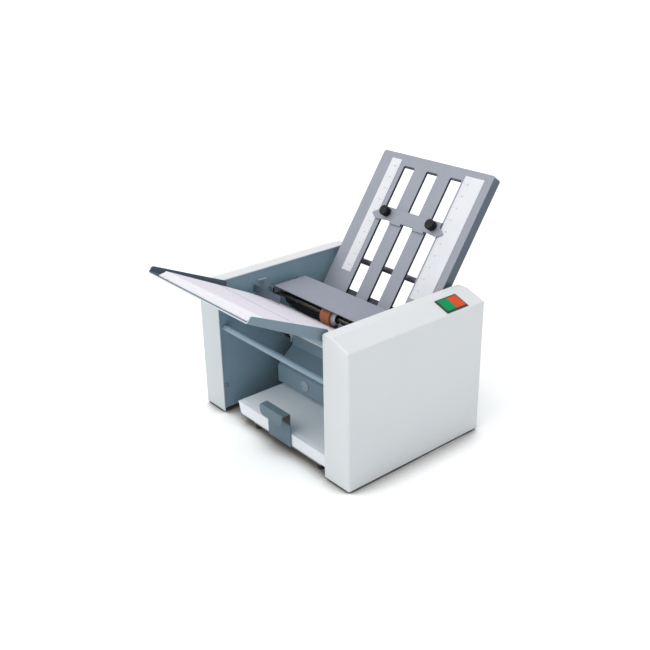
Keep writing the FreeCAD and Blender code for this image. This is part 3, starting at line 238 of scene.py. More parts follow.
ways = {
    "right": Vector((1, 0, 0)),
    "left": Vector((-1, 0, 0)),
    "front": Vector((0, -1, 0)),
    "top": Vector((0, 0, 1)),
    "under": Vector((0, 0, -1)),
    "plateFace": onPlate.to_3x3() @ Vector((0, 0, 1)),
    "plateLow": onPlate.to_3x3() @ Vector((0, -1, 0)),
    "trayFace": onTray.to_3x3() @ Vector((0, 0, 1)),
    "trayFront": onTray.to_3x3() @ Vector((0, -1, 0)),
}


class Finish:
    # one node material, built up in small named steps
    def __init__(self, name, colour, roughness, metallic=0.0, shine=0.5):
        self.material = bpy.data.materials.new(name)
        self.material.use_nodes = True
        self.tree = self.material.node_tree
        self.sockets = self.tree.nodes["Principled BSDF"].inputs
        self.sockets["Base Color"].default_value = (*colour, 1)
        self.sockets["Roughness"].default_value = roughness
        self.sockets["Metallic"].default_value = metallic
        self.sockets["Specular IOR Level"].default_value = shine
        self.place = newNode(self.tree, "TexCoord").outputs["Object"]
        self.lastBump = None

    def add(self, kind, sockets=None, **settings):
        return newNode(self.tree, kind, sockets, **settings)

    def link(self, source, target):
        self.tree.links.new(source, target)

    def mapped(self, stretch=(1, 1, 1), turn=(0, 0, 0), shift=(0, 0, 0)):
        mapping = self.add("Mapping", {"Scale": stretch, "Location": shift,
                                       "Rotation": [math.radians(angle) for angle in turn]})
        self.link(self.place, mapping.inputs["Vector"])
        return mapping.outputs["Vector"]

    def placed(self, place):
        # coordinates on a sloping plane, such as the fold plate's: y up its slope, z out of it
        back = place.inverted()
        return self.mapped(turn=[math.degrees(angle) for angle in back.to_euler()], shift=back.translation)

    def along(self, axis, where=None):
        split = self.add("SeparateXYZ")
        self.link(where or self.place, split.inputs[0])
        return split.outputs[axis]

    def radius(self, spot):
        # distance from a line along x through the spot
        away = self.add("VectorMath", operation="LENGTH")
        self.link(self.mapped((0, 1, 1), shift=(0, -spot.y, -spot.z)), away.inputs[0])
        return away.outputs["Value"]

    def over(self, source, limit):
        # 1 where a coordinate is past the limit
        return calculated(self.tree, "GREATER_THAN", source, limit / 1000)

    def under(self, source, limit):
        return calculated(self.tree, "LESS_THAN", source, limit / 1000)

    def both(self, one, other):
        # 1 where both masks are
        return calculated(self.tree, "MULTIPLY", one, other, clamp=True)

    def facing(self, way, low=0.85, high=0.98):
        # 1 where the surface faces that way; the limits are cosines of the angle from it
        dot = self.add("VectorMath", {1: ways[way]}, operation="DOT_PRODUCT")
        self.link(self.add("TexCoord").outputs["Normal"], dot.inputs[0])
        return self.ramp(dot.outputs["Value"], low, high)

    def ramp(self, source, low, high):
        return eased(self.tree, source, low, high)

    def noise(self, scale, detail=3, where=None):
        noise = self.add("TexNoise", {"Scale": scale, "Detail": detail, "Roughness": 0.55})
        self.link(where or self.place, noise.inputs["Vector"])
        return noise.outputs["Fac"]

    def cells(self, scale):
        cells = self.add("TexVoronoi", {"Scale": scale})
        self.link(self.place, cells.inputs["Vector"])
        return cells.outputs["Distance"]

    def bands(self, scale, direction, where=None, distort=0.0, profile="SIN"):
        wave = self.add("TexWave", {"Scale": scale, "Distortion": distort, "Detail": 1},
                        wave_type="BANDS", bands_direction=direction, wave_profile=profile)
        self.link(where or self.place, wave.inputs["Vector"])
        return wave.outputs["Fac"]

    def tint(self, mask, colour, strength=1.0):
        # lays another colour over what is there, as far as the mask and strength say
        base = self.sockets["Base Color"]
        mix = self.add("Mix", {"A": base.default_value[:], "B": (*colour, 1)}, data_type="RGBA")
        if base.links:
            self.link(base.links[0].from_socket, mix.inputs["A"])
        self.link(calculated(self.tree, "MULTIPLY", mask, strength), mix.inputs["Factor"])
        self.link(mix.outputs["Result"], base)

    def gloss(self, source, low, high):
        # roughness between two values, over the middle of a texture's range
        span = self.add("MapRange", {"From Min": 0.3, "From Max": 0.7, "To Min": low, "To Max": high})
        self.link(source, span.inputs["Value"])
        self.link(span.outputs["Result"], self.sockets["Roughness"])

    def bump(self, source, height, strength):
        bump = self.add("Bump", {"Strength": strength, "Distance": height / 1000})
        self.link(source, bump.inputs["Height"])
        if self.lastBump:
            self.link(self.lastBump, bump.inputs["Normal"])
        self.lastBump = bump.outputs["Normal"]
        self.link(self.lastBump, self.sockets["Normal"])


colours = {
    "cover": (0.735, 0.755, 0.775),
    "coverShade": (0.68, 0.71, 0.735),
    "panel": (0.262, 0.385, 0.465),
    "panelShade": (0.220, 0.335, 0.410),
    "plate": (0.300, 0.322, 0.378),
    "plateShade": (0.268, 0.290, 0.340),
    # painted shade for the fold plate's sides and the walls of its slots
    "paintedEdgeShade": (0.045, 0.072, 0.105),
    "sheetShade": (0.74, 0.705, 0.79),
}
tints = {                       # laid over a part of a finish
    "dust": (0.72, 0.72, 0.70),
    # painted shade on the left cover's front face
    "coverFront": (0.560, 0.622, 0.645),
    # painted shade where the fold plate's slots show its back sheet and ribs
    "ribFaceShade": (0.030, 0.036, 0.046),
    "ribBack": (0.008, 0.009, 0.012),
    # painted shade on the roller cover
    "lidFrontShade": (0.040, 0.040, 0.046),
    "lidLeftShade": (0.060, 0.070, 0.085),
    "lidUnderShade": (0.030, 0.030, 0.034),
    # painted light on the exit stop's top, painted shade in its hollow
    "hookTopLight": (0.190, 0.260, 0.310),
    "hookHollowShade": (0.001, 0.002, 0.004),
    # painted highlight on the feed tray's rims and front lip, painted shade on its inner left flange and
    # floor
    "trayRimHighlight": (0.62, 0.70, 0.76),
    "trayFront": (0.70, 0.76, 0.82),
    "leftFlangeShade": (0.075, 0.105, 0.140),
    "trayFloorShade": (0.050, 0.070, 0.095),
    "yellowZinc": (0.66, 0.64, 0.50),
    "darkBrass": (0.30, 0.20, 0.09),
    "wornWheel": (0.46, 0.20, 0.11),
    # painted shade on the hub's end round the shaft
    "hubRecessShade": (0.030, 0.028, 0.030),
    "wornInk": (0.45, 0.46, 0.50),
    "boardTracks": (0.10, 0.36, 0.14),
    "boardPads": (0.60, 0.52, 0.30),
    # painted light on the stack's front edges, a painted shadow line on the drawn sheets' front edge
    "sheetFrontLight": (0.965, 0.970, 0.990),
    "drawnFrontShade": (0.270, 0.250, 0.290),
    # painted light on the letters' tops
    "letterTopLight": (0.930, 0.985, 1.0),
}


def enamel(name, colour, roughness, shade, dust=0.0, shine=0.5):
    # stove enamel: orange peel, cloudy gloss, a little dust where it faces up
    paint = Finish(name, colour, roughness, shine=shine)
    paint.tint(paint.ramp(paint.noise(7, detail=4), 0.35, 0.7), shade, 0.55)
    paint.tint(paint.ramp(paint.noise(900, detail=2), 0.55, 0.75), shade, 0.35)
    if dust:
        specks = paint.ramp(paint.noise(260, detail=5), 0.55, 0.8)
        paint.tint(paint.both(paint.facing("top", 0.3, 0.9), specks), tints["dust"], dust)
    paint.gloss(paint.noise(35, detail=4), roughness - 0.07, roughness + 0.09)
    paint.bump(paint.noise(750, detail=2), height=0.12, strength=0.22)
    paint.bump(paint.noise(60, detail=2), height=0.6, strength=0.08)
    return paint


def plated(name, colour, roughness, grain=(1, 40, 40), dark=(0.25, 0.26, 0.28)):
    # rolled or drawn steel with fine lines along the grain and dull patches
    steel = Finish(name, colour, roughness, metallic=1.0)
    lines = steel.noise(60, detail=4, where=steel.mapped(grain))
    steel.tint(steel.ramp(lines, 0.45, 0.75), dark, 0.22)
    steel.tint(steel.ramp(steel.noise(22, detail=5), 0.55, 0.8), dark, 0.30)
    steel.gloss(lines, roughness - 0.08, roughness + 0.14)
    steel.bump(lines, height=0.08, strength=0.3)
    return steel


def rubber(name, colour, dull, grain=1600):
    # matt rubber with a fine skin and worn, duller patches
    skin = Finish(name, colour, 0.72)
    skin.tint(skin.ramp(skin.noise(40, detail=5), 0.4, 0.75), dull, 0.6)
    skin.tint(skin.ramp(skin.noise(grain, detail=2), 0.5, 0.8), dull, 0.35)
    skin.gloss(skin.noise(120), 0.58, 0.86)
    skin.bump(skin.noise(grain), height=0.15, strength=0.5)
    return skin


def moulded(name, colour, worn, roughness=0.42, shine=0.5):
    # injection-moulded plastic: fine spark-eroded grain, faint flow clouds
    plastic = Finish(name, colour, roughness, shine=shine)
    plastic.tint(plastic.ramp(plastic.noise(25), 0.45, 0.8), worn, 0.4)
    grain = plastic.cells(1500)
    plastic.tint(plastic.ramp(grain, 0.3, 0.8), worn, 0.25)
    plastic.gloss(plastic.noise(80), roughness - 0.08, roughness + 0.12)
    plastic.bump(grain, height=0.1, strength=0.35)
    return plastic


def officePaper(name, colour, shade, lines, tilt=0.0):
    # paper: fibre mottle on the sheet, fine lines of sheet edges on the cut sides
    paper = Finish(name, colour, 0.85, shine=0.2)
    paper.tint(paper.ramp(paper.noise(9), 0.35, 0.75), shade, 0.30)
    paper.tint(paper.ramp(paper.noise(700, detail=4), 0.45, 0.8), shade, 0.12)
    edges = paper.bands(lines, "Z", paper.mapped(turn=(-tilt, 0, 0)), distort=0.6)
    paper.tint(paper.ramp(edges, 0.25, 0.9), shade, 0.45)
    paper.bump(paper.noise(900), height=0.03, strength=0.25)
    return paper


# ---------- finishes that change over a part

zones = {
    "ribBack": -4.9,             # the face of the fold plate's back sheet, down from the plate's
    "lidEdge": 1.2,              # height of the roller cover's lit front edge
    "hookLip": -3.0,             # the exit stop's lip lies in front of this, its plate behind
    "hookHollowShade": (46.5, 52.5),  # the painted shade on the plate fades in over these heights, behind the lip
    "guideEars": 127.5,          # the inlet guides' ears lie outside this
    "trayRimHighlight": 8.0,              # the feed tray's cut edges, which get the painted highlight, lie above this
    "trayFloorShade": 3.0,            # and its floor, which gets the painted shade, below this
    "leftFlangeShade": -100.0,        # its left flange lies to the left of this
    "hubBore": 7.8,              # radius of the painted shade round the shaft, on the pale hub's end
    "frontPins": 0.0,            # the pins that carry the tray lie in front of the origin
    "stripEnd": -218.5,          # where the white of the scales ends, down the plate's slope
}
trayLines = 340                  # fineness of the lines that show the sheets' edges
letterLines = 300


def shadedCover():
    # the left cover, with painted shade: the same paint as the right cover, its front face tinted darker
    paint = enamel("shadedEnamel", colours["cover"], 0.46, colours["coverShade"], dust=0.15)
    paint.tint(paint.facing("front", 0.80, 0.98), tints["coverFront"], 0.8)
    return paint


def platePaint():
    # the fold plate and its stop, with painted shade: their sides, the slots' walls and the faces toward
    # the plate's low edge are tinted dark blue
    paint = enamel("plateEnamel", colours["plate"], 0.44, colours["plateShade"], dust=0.10)
    paint.tint(paint.facing("right", 0.80, 0.97), colours["paintedEdgeShade"], 0.85)
    paint.tint(paint.facing("left", 0.80, 0.97), colours["paintedEdgeShade"], 0.70)
    paint.tint(paint.facing("plateLow", 0.90, 0.98), colours["paintedEdgeShade"], 0.80)
    return paint


def ribPaint():
    # the fold plate's back sheet and ribs, with painted shade: their sides, their faces and the back
    # sheet's face are tinted near black where they show through the slots
    paint = enamel("ribEnamel", (0.290, 0.312, 0.368), 0.50, (0.258, 0.280, 0.330), shine=0.15)
    for side in ("right", "left"):
        paint.tint(paint.facing(side, 0.80, 0.97), colours["paintedEdgeShade"], 0.85)
    paint.tint(paint.facing("plateFace", 0.90, 0.98), tints["ribFaceShade"], 0.9)
    depth = paint.along("Z", paint.placed(onPlate))
    paint.tint(paint.under(depth, zones["ribBack"]), tints["ribBack"])
    return paint


def lidPaint():
    # the roller cover, with painted shade: near black on its front below the lit edge, dark on its left end
    # and its underside
    paint = enamel("lidEnamel", (0.270, 0.282, 0.345), 0.50, (0.240, 0.252, 0.310), dust=0.10)
    belowEdge = paint.under(paint.along("Z"), nodeBox("roller_cover")[1].z - zones["lidEdge"])
    paint.tint(paint.both(paint.facing("front"), belowEdge), tints["lidFrontShade"])
    paint.tint(paint.facing("left"), tints["lidLeftShade"], 0.8)
    paint.tint(paint.facing("under"), tints["lidUnderShade"], 0.9)
    return paint


def hookPaint():
    # the exit stop, with painted light on its top faces and painted shade, near black, on the plate in the
    # hollow behind its lip
    paint = enamel("hookEnamel", (0.130, 0.195, 0.240), 0.44, (0.108, 0.165, 0.208), dust=0.06)
    paint.tint(paint.facing("top"), tints["hookTopLight"], 0.8)
    low, high = zones["hookHollowShade"]
    inside = paint.both(paint.facing("front"),
                        paint.ramp(paint.along("Z"), low / 1000, high / 1000))
    behindLip = paint.over(paint.along("Y"), zones["hookLip"] - coverFront)
    paint.tint(paint.both(inside, behindLip), tints["hookHollowShade"])
    return paint


def guidePaint():
    # the inlet guides are dark, and their ears are painted with the side plates
    paint = enamel("guideEnamel", (0.085, 0.110, 0.150), 0.44, (0.065, 0.088, 0.120), dust=0.06)
    outwards = calculated(paint.tree, "ABSOLUTE", paint.along("X"))
    paint.tint(paint.over(outwards, zones["guideEars"]), colours["panel"], 0.8)
    return paint


def trayPaint():
    # the feed tray: a painted highlight along its rims' top edges and on its front lip, and painted shade
    # on its floor in front of the sheets and inside its left flange
    paint = enamel("trayEnamel", (0.190, 0.268, 0.330), 0.46, (0.160, 0.230, 0.285), dust=0.08)
    lift = paint.along("Z", paint.placed(onTray))
    upwards = paint.facing("trayFace", 0.90, 0.98)
    paint.tint(paint.both(upwards, paint.over(lift, zones["trayRimHighlight"])), tints["trayRimHighlight"], 0.7)
    paint.tint(paint.facing("trayFront", 0.90, 0.98), tints["trayFront"], 0.8)
    leftSide = paint.under(paint.along("X"), zones["leftFlangeShade"])
    paint.tint(paint.both(paint.facing("right", 0.90, 0.99), leftSide), tints["leftFlangeShade"], 0.85)
    paint.tint(paint.both(upwards, paint.under(lift, zones["trayFloorShade"])), tints["trayFloorShade"], 0.8)
    return paint


def pinPlate():
    # the pins that carry the tray are yellow passivated
    zinc = plated("pinZinc", (0.42, 0.43, 0.43), 0.34)
    zinc.tint(zinc.under(zinc.along("Y"), zones["frontPins"]), tints["yellowZinc"], 0.6)
    return zinc


def turnedBrass():
    brass = Finish("turnedBrass", (0.64, 0.47, 0.20), 0.28, metallic=1.0)
    brass.tint(brass.ramp(brass.noise(300, detail=4), 0.5, 0.8), tints["darkBrass"], 0.5)
    brass.bump(brass.bands(900, "X"), height=0.05, strength=0.5)
    return brass


def rollerRubber():
    # with a fine spiral grip
    skin = rubber("rollerRubber", (0.030, 0.029, 0.031), (0.055, 0.052, 0.052))
    skin.bump(skin.bands(260, "DIAGONAL", distort=0.4), height=0.20, strength=0.6)
    return skin


def feedRubber():
    # brown, worn lighter in spots, with fine grooves round the wheel
    skin = rubber("feedRubber", (0.330, 0.105, 0.045), (0.215, 0.070, 0.035))
    skin.tint(skin.ramp(skin.noise(160, detail=4), 0.5, 0.75), tints["wornWheel"], 0.45)
    skin.bump(skin.bands(420, "X"), height=0.18, strength=0.6)
    return skin


def beltRubber():
    skin = rubber("beltRubber", (0.020, 0.020, 0.022), (0.05, 0.048, 0.046))
    skin.bump(skin.cells(700), height=0.2, strength=0.5)
    return skin


def hubPlastic():
    # the pale hub, with painted shade on its right end face round the shaft
    plastic = moulded("palePlastic", (0.62, 0.64, 0.67), (0.52, 0.54, 0.57))
    low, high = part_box("feed_shaft")
    recess = plastic.under(plastic.radius((low + high) / 2), zones["hubBore"])
    plastic.tint(plastic.both(plastic.facing("right", 0.5, 0.8), recess), tints["hubRecessShade"])
    return plastic


def scaleInk():
    ink = Finish("scaleInk", (0.300, 0.310, 0.345), 0.6)
    ink.tint(ink.ramp(ink.noise(900), 0.45, 0.75), tints["wornInk"], 0.5)
    return ink


def stripFace():
    # white film on the fold plate, its low end painted over with the plate
    film = Finish("stripFace", (0.735, 0.745, 0.790), 0.38)
    film.tint(film.ramp(film.noise(30, detail=4), 0.4, 0.8), (0.68, 0.69, 0.735), 0.5)
    film.tint(film.ramp(film.noise(1100, detail=2), 0.55, 0.8), (0.66, 0.67, 0.71), 0.35)
    film.gloss(film.noise(50), 0.30, 0.46)
    film.bump(film.noise(500, detail=2), height=0.08, strength=0.2)
    film.tint(film.under(film.along("Y", film.placed(onPlate)), zones["stripEnd"]), colours["plate"])
    return film


def circuitBoard():
    board = Finish("circuitBoard", (0.020, 0.130, 0.045), 0.45)
    tracks = board.bands(95, "Y", distort=3.0, profile="SAW")
    board.tint(board.ramp(tracks, 0.80, 0.86), tints["boardTracks"], 0.8)
    board.tint(board.ramp(board.cells(160), 0.93, 1.0), tints["boardPads"], 0.8)
    board.bump(tracks, height=0.1, strength=0.4)
    return board


def sheetPaper(name, colour, paintedFrontTint, strength):
    # sheets on the tray, with a tint where their cut edges face the front: painted light, near white, on
    # the stack, and a painted shadow line, dark, on the drawn sheets
    paper = officePaper(name, colour, colours["sheetShade"], trayLines, machine["trayTilt"])
    paper.tint(paper.facing("trayFront", 0.35, 0.85), paintedFrontTint, strength)
    return paper


def letterPaper():
    # the folded letters, with painted light: their tops are tinted a brighter bluish white than their sides
    paper = officePaper("letterPaper", (0.880, 0.905, 0.940), (0.80, 0.83, 0.88), letterLines)
    paper.tint(paper.facing("top"), tints["letterTopLight"], 0.85)
    return paper


# ---------- the machine's own parts and what they are made of

finishes = {
    "cover": enamel("coverEnamel", colours["cover"], 0.46, colours["coverShade"], dust=0.15),
    "shadedCover": shadedCover(),
    "panel": enamel("panelEnamel", colours["panel"], 0.48, colours["panelShade"], dust=0.06),
    "rear": enamel("rearEnamel", (0.222, 0.292, 0.340), 0.48, (0.190, 0.255, 0.300), dust=0.06),
    "plate": platePaint(),
    "ribs": ribPaint(),
    "lower": enamel("lowerEnamel", colours["plate"], 0.46, colours["plateShade"], dust=0.08),
    "lid": lidPaint(),
    "chute": enamel("chuteEnamel", (0.235, 0.335, 0.405), 0.46, (0.195, 0.285, 0.350), dust=0.06),
    "hook": hookPaint(),
    "guide": guidePaint(),
    "tray": trayPaint(),
    "whiteBar": enamel("whiteEnamel", (0.90, 0.91, 0.92), 0.40, (0.84, 0.85, 0.87)),
    "motor": enamel("motorEnamel", (0.045, 0.048, 0.055), 0.50, (0.03, 0.032, 0.038)),
    "paintedBar": enamel("rodEnamel", (0.270, 0.385, 0.460), 0.38, (0.235, 0.340, 0.410), dust=0.06),
    "screw": enamel("paintedScrew", (0.225, 0.320, 0.385), 0.40, (0.130, 0.190, 0.235)),
    # painted shade: the near-black throat guides make the gap under the roller cover read as deep shade
    "throat": enamel("throatShadeBlack", (0.010, 0.009, 0.011), 0.48, (0.020, 0.019, 0.022), shine=0.2),
    "zinc": plated("zincPlate", (0.60, 0.61, 0.62), 0.34),
    "blackened": plated("blackenedSteel", (0.07, 0.07, 0.075), 0.42, dark=(0.03, 0.03, 0.03)),
    "ground": plated("groundSteel", (0.72, 0.73, 0.75), 0.20, grain=(60, 1, 1)),
    "spring": plated("springWire", (0.55, 0.56, 0.58), 0.25),
    "shaft": plated("dullSteel", (0.135, 0.125, 0.100), 0.30, grain=(60, 1, 1), dark=(0.05, 0.047, 0.04)),
    "rest": plated("greyedSteel", (0.250, 0.265, 0.285), 0.36, grain=(12, 1, 1), dark=(0.03, 0.032, 0.036)),
    "brightNut": plated("brightZinc", (0.88, 0.88, 0.84), 0.30, dark=(0.45, 0.44, 0.38)),
    "pins": pinPlate(),
    "brass": turnedBrass(),
    "roller": rollerRubber(),
    "wheel": feedRubber(),
    "belt": beltRubber(),
    "foot": rubber("footRubber", (0.022, 0.024, 0.034), (0.045, 0.046, 0.055), grain=900),
    "black": moulded("blackPlastic", (0.018, 0.018, 0.020), (0.04, 0.04, 0.043)),
    "bezel": moulded("bezelPlastic", (0.015, 0.015, 0.017), (0.035, 0.035, 0.038), 0.30),
    "cap": moulded("capPlastic", (0.340, 0.435, 0.500), (0.30, 0.39, 0.45), 0.30),
    "gear": moulded("gearPlastic", (0.72, 0.70, 0.62), (0.58, 0.56, 0.48)),
    "green": moulded("greenButton", (0.002, 0.290, 0.100), (0.002, 0.23, 0.08), 0.38, shine=0.12),
    "red": moulded("redButton", (0.690, 0.085, 0.022), (0.58, 0.065, 0.018), 0.38, shine=0.12),
    "knob": moulded("knobPlastic", (0.004, 0.004, 0.008), (0.012, 0.012, 0.018), 0.42, shine=0.22),
    "hub": hubPlastic(),
    "ink": scaleInk(),
    "strip": stripFace(),
    "board": circuitBoard(),
    "paper": sheetPaper("trayPaper", (0.790, 0.755, 0.835), tints["sheetFrontLight"], 0.96),
    "drawnPaper": sheetPaper("drawnPaper", (0.785, 0.750, 0.832), tints["drawnFrontShade"], 0.9),
    "letter": letterPaper(),
}
nodeFinish = {
    "cover": ("right_cover",),
    "shadedCover": ("left_cover",),
    "panel": ("left_side_plate", "right_side_plate"),
    "rear": ("rear_channel", "rear_cover"),
    "plate": ("fold_plate_front", "fold_stop"),
    "ribs": ("fold_plate_back",),
    "lower": ("lower_fold_plate",),
    "lid": ("roller_cover",),
    "chute": ("exit_chute",),
    "hook": ("exit_stop",),
    "guide": ("inlet_guides",),
    "tray": ("feed_tray",),
    "whiteBar": ("separator_bar",),
    "motor": ("motor",),
    "paintedBar": ("cross_rods",),
    "screw": ("frame_screws",),
    "throat": ("throat_guide",),
    "zinc": ("lower_cross_bar", "motor_bracket", "separator_arm", "lower_stop", "exit_slide", "exit_tray"),
    "ground": ("motor_pulley",),
    "spring": ("separator_spring",),
    "shaft": ("feed_shaft",),
    "rest": ("rest_rods",),
    "pins": ("hanger_pins",),
    "brass": ("bushes",),
    "roller": ("fold_roller_1", "fold_roller_2", "fold_roller_3", "fold_roller_4"),
    "wheel": ("feed_wheel", "separator_pad"),
    "belt": ("feed_belt", "drive_belt"),
    "foot": ("rubber_feet",),
    "black": ("feed_pulley", "roller_pulley", "drive_pulley", "power_inlet"),
    "bezel": ("switch_bezel",),
    "cap": ("chute_cap",),
    "gear": ("roller_gear_1", "roller_gear_2", "roller_gear_3", "roller_gear_4"),
    "green": ("green_button",),
    "red": ("red_button",),
    "knob": ("left_knob", "right_knob"),
    "hub": ("feed_hub",),
    "strip": ("scale_strips",),
    "board": ("control_board",),
    "paper": ("paper_stack",),
    "letter": ("folded_stack",),
}


def dressNode(name, finish):
    slots = nodes[name].data.materials
    if not slots:
        slots.append(finish.material)
    for index in range(len(slots)):
        slots[index] = finish.material


for finishName, nodeNames in nodeFinish.items():
    for nodeName in nodeNames:
        dressNode(nodeName, finishes[finishName])
print("finishes on", sum(len(names) for names in nodeFinish.values()), "nodes")


# ---------- making pieces: each is modelled in its own frame, then settled in place

touching = 0.01               # points this close to a plane count as on it
aligned = 0.9                 # a way or normal with this share of an axis counts as along it


def begin(name):
    # names the newest object and opens its mesh
    piece = bpy.context.object
    piece.name = name
    piece.data.name = name
    bpy.ops.object.mode_set(mode="EDIT")
    bpy.ops.mesh.select_all(action="SELECT")


def block(name, size, middle=(0, 0, 0)):
    # a block to shape, left in edit mode and selected all over
    bpy.ops.object.select_all(action="DESELECT")
    bpy.ops.mesh.primitive_cube_add(size=1, location=(0, 0, 0))
    begin(name)
    bpy.ops.transform.resize(value=size)
    bpy.ops.transform.translate(value=middle)


def drum(name, radius, length, sides):
    # a cylinder along z to shape
    bpy.ops.object.select_all(action="DESELECT")
    bpy.ops.mesh.primitive_cylinder_add(vertices=sides, radius=radius, depth=length, location=(0, 0, 0))
    begin(name)


def pick(kind, wanted):
    # selects points by their place, edges by their middle and way, faces by their middle and normal
    bpy.ops.mesh.select_all(action="DESELECT")
    bpy.ops.mesh.select_mode(type=kind)
    mesh = bmesh.from_edit_mesh(bpy.context.object.data)
    mesh.normal_update()
    if kind == "VERT":
        for point in mesh.verts:
            point.select_set(wanted(point.co))
    elif kind == "EDGE":
        for edge in mesh.edges:
            start, end = [point.co for point in edge.verts]
            edge.select_set(wanted((start + end) / 2, (end - start).normalized()))
    else:
        for face in mesh.faces:
            face.select_set(wanted(face.calc_center_median(), face.normal))
    bmesh.update_edit_mesh(bpy.context.object.data)


def cutAt(spot, normal, trim=False):
    # cuts the piece by a plane, and with trim takes away what lies behind it
    bpy.ops.mesh.select_all(action="SELECT")
    bpy.ops.mesh.bisect(plane_co=spot, plane_no=normal, threshold=0.0001, clear_inner=trim, use_fill=trim)


def inset(width, depth=0.0):
    bpy.ops.mesh.inset(thickness=width, depth=depth)


def bevel(width, steps):
    bpy.ops.mesh.bevel(offset=width, segments=steps)


def extrude(x, y, z):
    bpy.ops.mesh.extrude_region_move(TRANSFORM_OT_translate={"value": (x, y, z)})


def shifted(piece, move):
    # moves a piece, and keeps the move in its mesh
    piece.matrix_world = move
    bpy.ops.object.select_all(action="DESELECT")
    piece.select_set(True)
    bpy.context.view_layer.objects.active = piece
    bpy.ops.object.transform_apply(location=True, rotation=True, scale=True)
    return piece


def settle(place, smooth):
    # out of edit mode, to metres and into place
    bpy.ops.object.mode_set(mode="OBJECT")
    piece = shifted(bpy.context.object, place @ Matrix.Scale(0.001, 4))
    bpy.ops.object.shade_smooth_by_angle(angle=math.radians(smooth))
    return piece


def copyOf(piece, move):
    # a copy with its own mesh, moved
    twin = piece.copy()
    twin.data = piece.data.copy()
    bpy.context.scene.collection.objects.link(twin)
    return shifted(twin, move)


def remove(*pieces):
    for piece in pieces:
        bpy.data.objects.remove(piece)


def joined(name, parts):
    # makes one object of the parts
    bpy.ops.object.select_all(action="DESELECT")
    for part in parts:
        part.select_set(True)
    bpy.context.view_layer.objects.active = parts[0]
    if len(parts) > 1:
        bpy.ops.object.join()
    whole = bpy.context.object
    whole.name = name
    whole.data.name = name
    return whole


def finished(piece, finish, stands=()):
    # gives a piece its finish and body, and hides the CAD nodes it stands for
    piece.data.materials.clear()
    piece.data.materials.append(finishes[finish].material)
    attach(piece, "frame")
    if stands:
        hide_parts(*stands)


# ---------- the sheets on the feed tray

sheets = {
    "low": 1.5,               # over the tray's floor
    "thick": 9.5,
    "sheaves": 9,
    "gap": 0.02,              # between sheaves
    "front": 10.0,            # behind the tray's front edge
    "edge": 0.25,             # rounding of a sheaf's front edge
    "bendAt": 182.9,          # where the tray's floor turns steeper
    "bend": 2.5,
    "bendCuts": (-3, -1, 1, 3),   # round it, with a part of the bend between each two
    "afterBend": 63.4,
    "fan": 0.75,              # each sheaf's front edge behind the one below
    "twist": 0.50,            # its turn against the one below
    "lean": 5.0,              # how far the top sheaf lies to the right of the lowest
    "unevenFront": 0.5,
    "unevenTwist": 0.06,
    "unevenSide": 0.4,
}
drawnSheets = {
    "front": 110.0,           # behind the tray's front edge
    "thick": 0.4,
    "turn": -4.2,
}
paperLow, paperHigh = nodeBox("paper_stack")
sheetWidth = paperHigh.x - paperLow.x


def makeSheaf(front, low, thick):
    # one sheaf, bent in small steps where the floor bends
    size = sheets
    end = size["bendAt"] + size["afterBend"]
    block("sheaf", (sheetWidth, end - front, thick), (0, (front + end) / 2, low + thick / 2))
    cuts = [size["bendAt"] + step for step in size["bendCuts"]]
    for cut in cuts:
        cutAt((0, cut, 0), (0, 1, 0))
    for before, after in zip(cuts, cuts[1:]):
        hinge = (before + after) / 2
        pick("VERT", lambda co: co.y > hinge)
        bpy.ops.transform.rotate(value=math.radians(size["bend"] / (len(cuts) - 1)), orient_axis="X",
                                 orient_type="GLOBAL", center_override=(0, hinge, low))
    pick("EDGE", lambda mid, way: abs(way.x) > aligned and mid.y < front + touching)
    bevel(min(size["edge"], thick / 3), steps=2)
    return settle(onTray, smooth=25)


def makeSheets():
    chance = random.Random(7)
    size = sheets
    each = size["thick"] / size["sheaves"]
    parts = []
    for number in range(size["sheaves"]):
        share = number / (size["sheaves"] - 1)
        front = size["front"] + size["fan"] * number + chance.uniform(0, size["unevenFront"])
        twist = size["twist"] * number + chance.uniform(-size["unevenTwist"], size["unevenTwist"])
        side = size["lean"] * share + chance.uniform(-size["unevenSide"], size["unevenSide"])
        sheaf = makeSheaf(front, size["low"] + number * each, each - size["gap"])
        move = moved(side, 0, 0) @ turned(twist, -sheetWidth / 2, front)
        parts.append(shifted(sheaf, inFrame(onTray, move)))
    finished(joined("feedSheets", parts), "paper", stands=("paper_stack",))


def makeDrawnSheets():
    # the top sheets, already drawn in a little
    size = drawnSheets
    drawn = makeSheaf(size["front"], sheets["low"] + sheets["thick"], size["thick"])
    shifted(drawn, inFrame(onTray, turned(size["turn"], 0, size["front"])))
    finished(joined("drawnSheets", [drawn]), "drawnPaper")


# ---------- the folded letters in the exit tray

letters = {
    "count": 9,
    "left": -0.7,             # the top letter's left end, from the solid pile's
    "slant": 6.4,             # how far the bottom letter lies to the right of the top one
    "bottomBack": 1.6,        # and how far behind the others
    "gap": 0.05,              # between letters
    "fold": 1.0,              # radius of the folds
    "foldFlat": 0.02,         # left flat between the two rounds of a fold
    "ends": (0.25, -0.3),     # width of the outer layer's edge, and depth of the ends inside it
    "flapAt": 9.0,            # the loose third's edge, behind the front fold
    "flapGap": 0.25,
    "groove": (0.02, -0.4),   # the gap's walls and depth
    "flapStep": 0.22,         # only two layers lie in front of that edge
    "unevenSide": 0.4,
    "unevenBack": 0.5,
    "unevenTurn": 0.12,
}
pileLow, pileHigh = nodeBox("folded_stack")
letterWidth, letterDepth, pileHeight = pileHigh - pileLow


